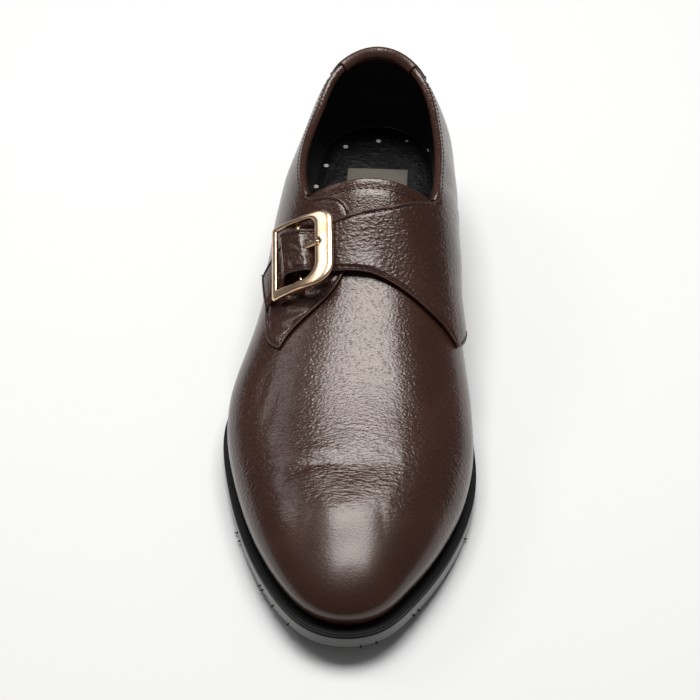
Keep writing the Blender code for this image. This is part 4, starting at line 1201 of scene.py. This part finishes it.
def make_quarter(name, side, front_edge, table, height, thickness, relief, look, node, steps):
    """Quarter and the strap or ear that grows out of it. Returns the lines of its stitching."""
    shares = np.linspace(0, 1, 64)
    ahead = refined(26)
    behind = np.linspace(0, 1, 90)[1:]
    corner = side * (1 - THROAT_CLIMB[side])
    edge = cubic(front_edge)
    reach = side * (1 - shares * THROAT_CLIMB[side])
    start = edge(np.where(np.abs(reach) < 1, reach, side))[:, None]
    back_size = THROAT_ANGLE + (SEAM_ANGLE - THROAT_ANGLE) * np.repeat(behind[None], len(shares), 0)
    size = np.concatenate([start + (THROAT_ANGLE - start) * ahead[None], back_size], 1)
    ends = np.where(size <= THROAT_ANGLE + 1e-6, THROAT_CLIMB[side], topline_climb(side * size))
    climb = SEAT_CLIMB + (ends - SEAT_CLIMB) * shares[:, None]
    body = skin(side * size, climb)
    body_normal = outward(side * size, climb)

    table = ((corner, float(edge(corner)), corner, THROAT_ANGLE),) + table
    place = np.arange(len(table))
    lines = [cubic([(p, row[c]) for p, row in zip(place, table)]) for c in range(4)]
    last = len(table) - 1.0
    tip = last - np.array([0.30, 0.2, 0.12, 0.07, 0.035, 0.015, 0.0])
    at = np.concatenate([np.linspace(0, tip[0], steps)[:-1], tip])[:, None]
    strap_reach = lines[0](at) + (lines[2](at) - lines[0](at)) * ahead[None]
    strap_size = lines[1](at) + (lines[3](at) - lines[1](at)) * ahead[None]
    strap_angle = np.where(strap_reach < 0, -1, 1) * strap_size
    strap = skin(strap_angle, 1 - np.abs(strap_reach))
    strap_normal = outward(strap_angle, 1 - np.abs(strap_reach))

    rim = np.concatenate([body[:, 0], strap[:, 0], strap[-1], strap[:, -1]])

    def laid(base, normal):
        distance = distance_to(base, rim)
        low = height(base)
        half = thickness(base) / 2
        share = rounded(distance, half)
        groove = SEAM_DEPTH * bell(distance - STITCH_INSET, SEAM_WIDTH)
        bead = BEAD_HEIGHT * bell(distance - BEAD_INSET, SEAM_WIDTH)
        wear = relief(base) * smooth_step((distance - 0.8 * MM) / (2 * MM))
        top = low + half + half * share - groove + bead + wear
        return top, base + normal * top[..., None], base + normal * (low + half - half * share)[..., None]

    top, outer, under = laid(body, body_normal)
    _, strap_outer, strap_under = laid(strap, strap_normal)
    work = Builder()
    face, back = work.grid(outer), work.grid(under)
    work.quads(face)
    work.quads(back)
    for grid in (strap_outer, strap_under):
        work.quads(work.grid(grid))
    work.strip(face[0], back[0])
    work.strip(face[:, -1], back[:, -1])

    first = len(ahead) - 1
    rest, out = body[-1, first:], body_normal[-1, first:]
    up = body[-1, first:] - body[-2, first:]
    per_climb = np.linalg.norm(up, axis=-1) / ((climb[-1, first:] - climb[-2, first:]))
    up = unit(up)
    inside = -(UPPER_WALL + ROLL_REACH)
    high = top[-1, first:]
    middle, radius = (high + inside) / 2, (high - inside) / 2
    rows = []
    for turn in np.radians(np.linspace(0, 180, 17)[1:-1]):
        rows.append(rest + out * (middle + radius * math.cos(turn))[:, None]
                    + up * (radius * ROLL_CROWN * math.sin(turn))[:, None])
    angles = side * size[-1, first:]
    for drop, off in TURN_IN:
        lower = climb[-1, first:] - drop * MM / per_climb
        rows.append(skin(angles, lower, np.full(angles.shape, inside + off * MM)))
    roll = work.grid(np.array(rows))
    work.strip(face[-1, first:], roll[0])
    work.quads(roll)
    work.strip(roll[-1], back[-1, first:])
    for column, edge_column in ((0, first), (-1, -1)):
        work.face([face[-1, edge_column], *roll[:, column], back[-1, edge_column]])
    work.piece(name, [look], "upper_leather", node)

    def edge_of(quarter, strap):
        return np.concatenate([quarter[:-1, 2], strap[:-3, 2], strap[-3, 2:-2], strap[:-3, -3][::-1]])

    edge_up = edge_of(body_normal, strap_normal)
    # Cord along the turned edge, in the lighter leather whose colour is a painted highlight
    work = Builder()
    cord(work, edge_of(outer, strap_outer) - edge_up * EDGE_CORD * 0.85, edge_up, EDGE_CORD)
    work.piece(name + "_rolled_edge", [rolled_leather_painted_highlight], "upper_leather")

    inset = STITCH_INSET + SEAM_WIDTH
    front_row = inset_line(outer[::-1], inset)[::-1]
    strap_front = inset_line(strap_outer, inset)
    strap_back = inset_line(strap_outer[:, ::-1], inset)
    strap_tip = inset_line(np.swapaxes(strap_outer[::-1], 0, 1), inset)
    collar = inset_line(np.swapaxes(outer[::-1, first:], 0, 1), STITCH_INSET)
    return front_row, strap_front, strap_back, strap_tip, collar


def make_heel_tab():
    """Binding folded over the back of the topline."""
    outside = QUARTER_TOP + LAYER_GAP
    inside = UPPER_WALL + TAB_ROLL_REACH
    middle, radius = (outside - inside) / 2, (outside + inside) / 2
    sizes = TAB_ANGLE + (360 - 2 * TAB_ANGLE) * refined(40, (0.0, 0.004, 0.01, 0.018, 0.03))
    ends = topline_climb(sizes)
    top = skin(sizes, ends)
    below = skin(sizes, ends - 0.1)
    length = np.linalg.norm(top - below, axis=-1) / 0.1
    up = unit(top - below)
    out = outward(sizes, ends)
    base, direction = [], []
    rolled = TAB_OUTSIDE - np.array([0, 0.1, 0.25, 0.5, 0.8]) * MM
    for drop in np.concatenate([rolled, np.linspace(TAB_OUTSIDE - 1.2 * MM, 0.3 * MM, 16)]):
        base.append(skin(sizes, ends - drop / length, np.full(sizes.shape, outside)))
        direction.append(out)
    for turn in np.radians(np.linspace(0, 180, 15)[1:-1]):
        climb = GAP + radius * TAB_ROLL_CROWN * math.sin(turn)
        base.append(top + out * (middle + radius * math.cos(turn)) + up * climb)
        direction.append(out * math.cos(turn) + up * math.sin(turn))
    for drop in TAB_INSIDE - np.array([5.7, 4.8, 3.6, 2.4, 1.2, 0.6, 0.35, 0.2, 0.1, 0]) * MM:
        base.append(skin(sizes, ends - drop / length, np.full(sizes.shape, -inside)))
        direction.append(-out)
    base, direction = np.array(base), np.array(direction)
    distance = distance_to(base, border(base))
    groove = -TAB_SEAM_DEPTH * bell(distance - TAB_SEAM_INSET, SEAM_WIDTH)
    work = Builder()
    face = closed_sheet(work, base, direction, 0.0, np.full(distance.shape, TAB_THICKNESS), distance, groove)
    work.piece("heel_tab_binding", [binding_leather], "upper_leather", "heel_tab")
    return inset_line(np.swapaxes(face, 0, 1)[2:-2], TAB_STITCH_INSET)


# Buckle

def outline_side(front, back, half, front_radius, back_radius, arc=16):
    """Stations round one side of the D: half the back bar, arm, front corner, half the front bar."""
    side = [(back, half * share) for share in np.linspace(0, 0.8, 9)]
    for turn in np.linspace(0, math.pi / 2, arc):
        side.append((back - back_radius * (1 - math.cos(turn)), half - back_radius * (1 - math.sin(turn))))
    start, end = back - back_radius, -front + front_radius
    side += [(start + (end - start) * share, half) for share in np.linspace(0, 1, 22)[1:-1]]
    for turn in np.linspace(0, math.pi / 2, arc):
        u = -front + front_radius * (1 - math.sin(turn))
        side.append((u, half - front_radius * (1 - math.cos(turn))))
    side += [(-front, (half - front_radius) * share) for share in (0.8, 0.6, 0.4, 0.2)]
    side.append((-front, 0.0))
    return side


def frame_outline(toe_side, heel_side):
    """Stations all round the D, from its two sides."""
    return toe_side + [(u, -v) for u, v in reversed(heel_side[1:-1])]


def rod(work, path, radii, sides=20):
    """Round bar along a path, closed at both ends."""
    path = np.array(path)
    rings = []
    for i, point in enumerate(path):
        along = path[min(i + 1, len(path) - 1)] - path[max(i - 1, 0)]
        along /= np.linalg.norm(along)
        side = np.cross(along, (0.0, 1.0, 0.0))
        side /= np.linalg.norm(side)
        other = np.cross(along, side)
        turn = np.linspace(0, 2 * math.pi, sides, endpoint=False)[:, None]
        ring = point + (side * np.cos(turn) + other * np.sin(turn)) * radii[i]
        rings.append(work.grid(ring[None])[0])
    work.tube(rings)
    work.face(rings[0])
    work.face(rings[-1])


def prong_spot(out):
    """Point of the prong's middle line, at a distance out from the centre bar."""
    lift = PRONG_LIFT * float(smooth_step(2 * out / PRONG_TIP))
    return (-out, PRONG_PLACE, PRONG_START + (PRONG_END - PRONG_START) * out / PRONG_TIP + lift)


def placed(mesh):
    """Moves a mesh from the buckle's axes to the shoe's."""
    mesh.transform(BUCKLE_AXES)
    return mesh


def make_buckle():
    """The frame: a bent D with a wide front bar, lugs down to the centre bar and a notch for the prong."""
    toe_window = BUCKLE_HALF_WIDTH - TOE_SIDE_ARM
    heel_window = BUCKLE_HALF_WIDTH - HEEL_SIDE_ARM
    front, back = BUCKLE_FRONT, BUCKLE_BACK
    outer = frame_outline(outline_side(front, back, BUCKLE_HALF_WIDTH, TOE_SIDE_CORNER, BACK_CORNER),
                          outline_side(front, back, BUCKLE_HALF_WIDTH, HEEL_SIDE_CORNER, BACK_CORNER))
    front, back = BUCKLE_FRONT - FRONT_BAR_WIDTH, BUCKLE_BACK - BACK_BAR_WIDTH
    inner = frame_outline(outline_side(front, back, toe_window, TOE_SIDE_WINDOW_CORNER, WINDOW_BACK_CORNER),
                          outline_side(front, back, heel_window, HEEL_SIDE_WINDOW_CORNER, WINDOW_BACK_CORNER))
    section = [(0.5 - 0.5 * math.copysign(abs(math.cos(t)) ** 0.55, math.cos(t)),
                0.5 + 0.5 * math.copysign(abs(math.sin(t)) ** 0.7, math.sin(t)))
               for t in np.linspace(0, 2 * math.pi, 40, endpoint=False)]
    lug_foot = BAR_HEIGHT - CENTRE_BAR_RADIUS - LUG_REACH
    rings = []
    for (u_out, v_out), (u_in, v_in) in zip(outer, inner):
        on_arm = v_in > toe_window - GAP or v_in < GAP - heel_window
        lug = float(smooth_step(1.6 - abs(u_out) / LUG_LENGTH)) if on_arm else 0.0
        ring = []
        for share, level in section:
            u = u_out + (u_in - u_out) * share
            v = v_out + (v_in - v_out) * share
            rise = FRAME_UNDER + frame_rise(u, v)
            under = rise + (lug_foot - rise) * lug
            ring.append((u, v, under + (rise + FRAME_THICKNESS - under) * level))
        rings.append(ring)
    work = Builder()
    numbers = work.grid(np.array(rings))
    closed = np.concatenate([numbers, numbers[:1]])
    work.quads(np.concatenate([closed, closed[:, :1]], 1))
    thick = PRONG_RADIUS * PRONG_SWELL
    notch = Builder()
    rod(notch, [prong_spot(6 * MM), prong_spot(PRONG_TIP + 0.5 * MM)], [thick + NOTCH_EASE] * 2, 32)
    mesh = carved(work.mesh("buckle_frame_uncut", [brass], 60), notch.mesh("notch", [brass]))
    mesh.name = "buckle_d_frame"
    piece("buckle_d_frame", placed(mesh), "buckle", "buckle_frame")
    make_prong(thick)


def make_prong(thick):
    """The prong: an eye bent round the centre bar, and a round pin that swells towards its tip."""
    ring = CENTRE_BAR_RADIUS + GAP + PRONG_RADIUS * PRONG_ROOT
    path = [(ring * math.cos(turn), PRONG_PLACE, BAR_HEIGHT + ring * math.sin(turn)) for turn in
            np.radians(np.arange(-90, 91, 12))]
    radii = [PRONG_RADIUS * PRONG_ROOT] * len(path)
    end = PRONG_TIP - thick
    for share in (0.1, 0.2, 0.3, 0.4, 0.5, 0.65, 0.8, 0.9):
        path.append(prong_spot(end * share))
        swell = (PRONG_SWELL - PRONG_ROOT) * float(smooth_step(share * 3.5))
        radii.append(PRONG_RADIUS * (PRONG_ROOT + swell))
    for turn in np.radians((0, 20, 40, 60, 75, 86)):
        path.append(prong_spot(end + thick * math.sin(turn)))
        radii.append(thick * math.cos(turn))
    work = Builder()
    rod(work, path, radii, 24)
    piece("buckle_pin", placed(work.mesh("buckle_pin", [brass])), "buckle", "buckle_prong")


def carved(mesh, cutter):
    """A mesh with another cut out of it."""
    target, tool = in_scene("target", mesh), in_scene("cutter", cutter)
    step = target.modifiers.new("cut", "BOOLEAN")
    step.operation = "DIFFERENCE"
    step.solver = "EXACT"
    step.object = tool
    found = plain_mesh(target)
    bpy.data.objects.remove(tool, do_unlink=True)
    return found


def assign(node, look):
    """Gives a CAD node that stays its material."""
    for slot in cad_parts[node].material_slots:
        slot.material = look


make_sole()
make_sock()
make_label()
make_perforations("sock_perforations", PERFORATIONS, PERFORATION_RADIUS)
make_perforations("sock_small_perforation", SMALL_PERFORATIONS, SMALL_PERFORATION_RADIUS)
tongue_row = make_vamp()
make_lining()
inner_lines = make_quarter("inner_quarter_with_strap", 1, INNER_FRONT, STRAP, strap_height, strap_thickness,
                           inner_relief, strap_leather, "inner_quarter_strap", 210)
outer_lines = make_quarter("outer_quarter_with_ear", -1, OUTER_FRONT, EAR, even(LAYER_GAP),
                           even(QUARTER_THICKNESS), outer_relief, quarter_leather, "outer_quarter", 80)
tab_row = make_heel_tab()
make_buckle()
for node, look in (("buckle_centre_bar", brass), ("buckle_loop", loop_cloth)):
    assign(node, look)

rows = [tongue_row, tab_row]
for front_row, strap_front, strap_back, strap_tip, collar in (inner_lines, outer_lines):
    beside_tab = round(len(collar) * (TAB_ANGLE - 8 - THROAT_ANGLE) / (SEAM_ANGLE - THROAT_ANGLE))
    rows.append(np.concatenate([front_row, strap_front[1:-7]]))
    rows += [strap_back[4:-7], strap_tip[6:-6], collar[3:beside_tab]]
points, edges = [], []
for row in rows:
    edges += [(len(points) + i, len(points) + i + 1) for i in range(len(row) - 1)]
    points += list(row)
grown("seam_stitches", stitch_tree(), points, edges,
      {"Spacing": STITCH_SPACING, "Length": STITCH_LENGTH, "Radius": STITCH_RADIUS}, thread, "upper_leather")


# Stage: floor, lights and camera

# Lights: place, what they face, width and height, and power
LIGHTS = {
    "overhead softbox": ((-0.01, 0.265, 1.35), (0, 0, 0.03), (0.84, 0.62), 19.0),
    "side card": ((-0.86, 0.40, 0.98), (-0.023, 0.0, 0.07), (0.38, 0.32), 1.15),
}
FLOOR_HALF = 4.0
FLOOR_DROP = 0.1 * MM
SKY_STRENGTH = 0.13
PICTURE_WIDTH = 700
FOCAL_LENGTH = 2400 / PICTURE_WIDTH
SENSOR_WIDTH = 36
CAMERA_TURN = 2.96
CAMERA_RISE = 45.5
CAMERA_DISTANCE = 1.033
CAMERA_AIM = Vector((-1.79, -5.12, 30)) * MM


def make_stage():
    """Plain pale floor, two soft lights and a faint even sky."""
    mesh = bpy.data.meshes.new("floor")
    corners = [(x * FLOOR_HALF, y * FLOOR_HALF, -FLOOR_DROP) for x, y in ((-1, -1), (1, -1), (1, 1), (-1, 1))]
    mesh.from_pydata(corners, [], [(0, 1, 2, 3)])
    paint = Paint("floor paper", 0.7, specular=0.2)
    paint.set("Base Color", paint.mix(paint.noise(3.0), (0.90, 0.90, 0.892), (0.915, 0.915, 0.908)))
    mesh.materials.append(paint.material)
    in_scene("floor", mesh)

    for name, (place, target, size, power) in LIGHTS.items():
        light = bpy.data.lights.new(name, "AREA")
        light.shape = "RECTANGLE"
        light.size, light.size_y = size
        light.energy = power
        made = in_scene(name, light)
        made.location = place
        made.rotation_euler = (Vector(target) - Vector(place)).to_track_quat("-Z", "Y").to_euler()

    world = bpy.data.worlds.new("studio")
    world.use_nodes = True
    sky = world.node_tree.nodes["Background"]
    sky.inputs["Color"].default_value = (1.0, 1.0, 1.0, 1.0)
    sky.inputs["Strength"].default_value = SKY_STRENGTH
    bpy.context.scene.world = world
    bpy.context.scene.view_settings.view_transform = "Standard"


def make_camera():
    """The photograph's angle: above the floor, and a little to the inner side of straight ahead."""
    lens = bpy.data.cameras.new("camera")
    lens.sensor_width = SENSOR_WIDTH
    lens.lens = SENSOR_WIDTH * FOCAL_LENGTH
    lens.clip_end = 50
    turn, rise = math.radians(CAMERA_TURN), math.radians(CAMERA_RISE)
    back = Vector((math.sin(turn) * math.cos(rise), -math.cos(turn) * math.cos(rise), math.sin(rise)))
    made = in_scene("camera", lens)
    made.location = CAMERA_AIM + back * CAMERA_DISTANCE
    made.rotation_euler = (-back).to_track_quat("-Z", "Y").to_euler()
    bpy.context.scene.camera = made


make_stage()
make_camera()
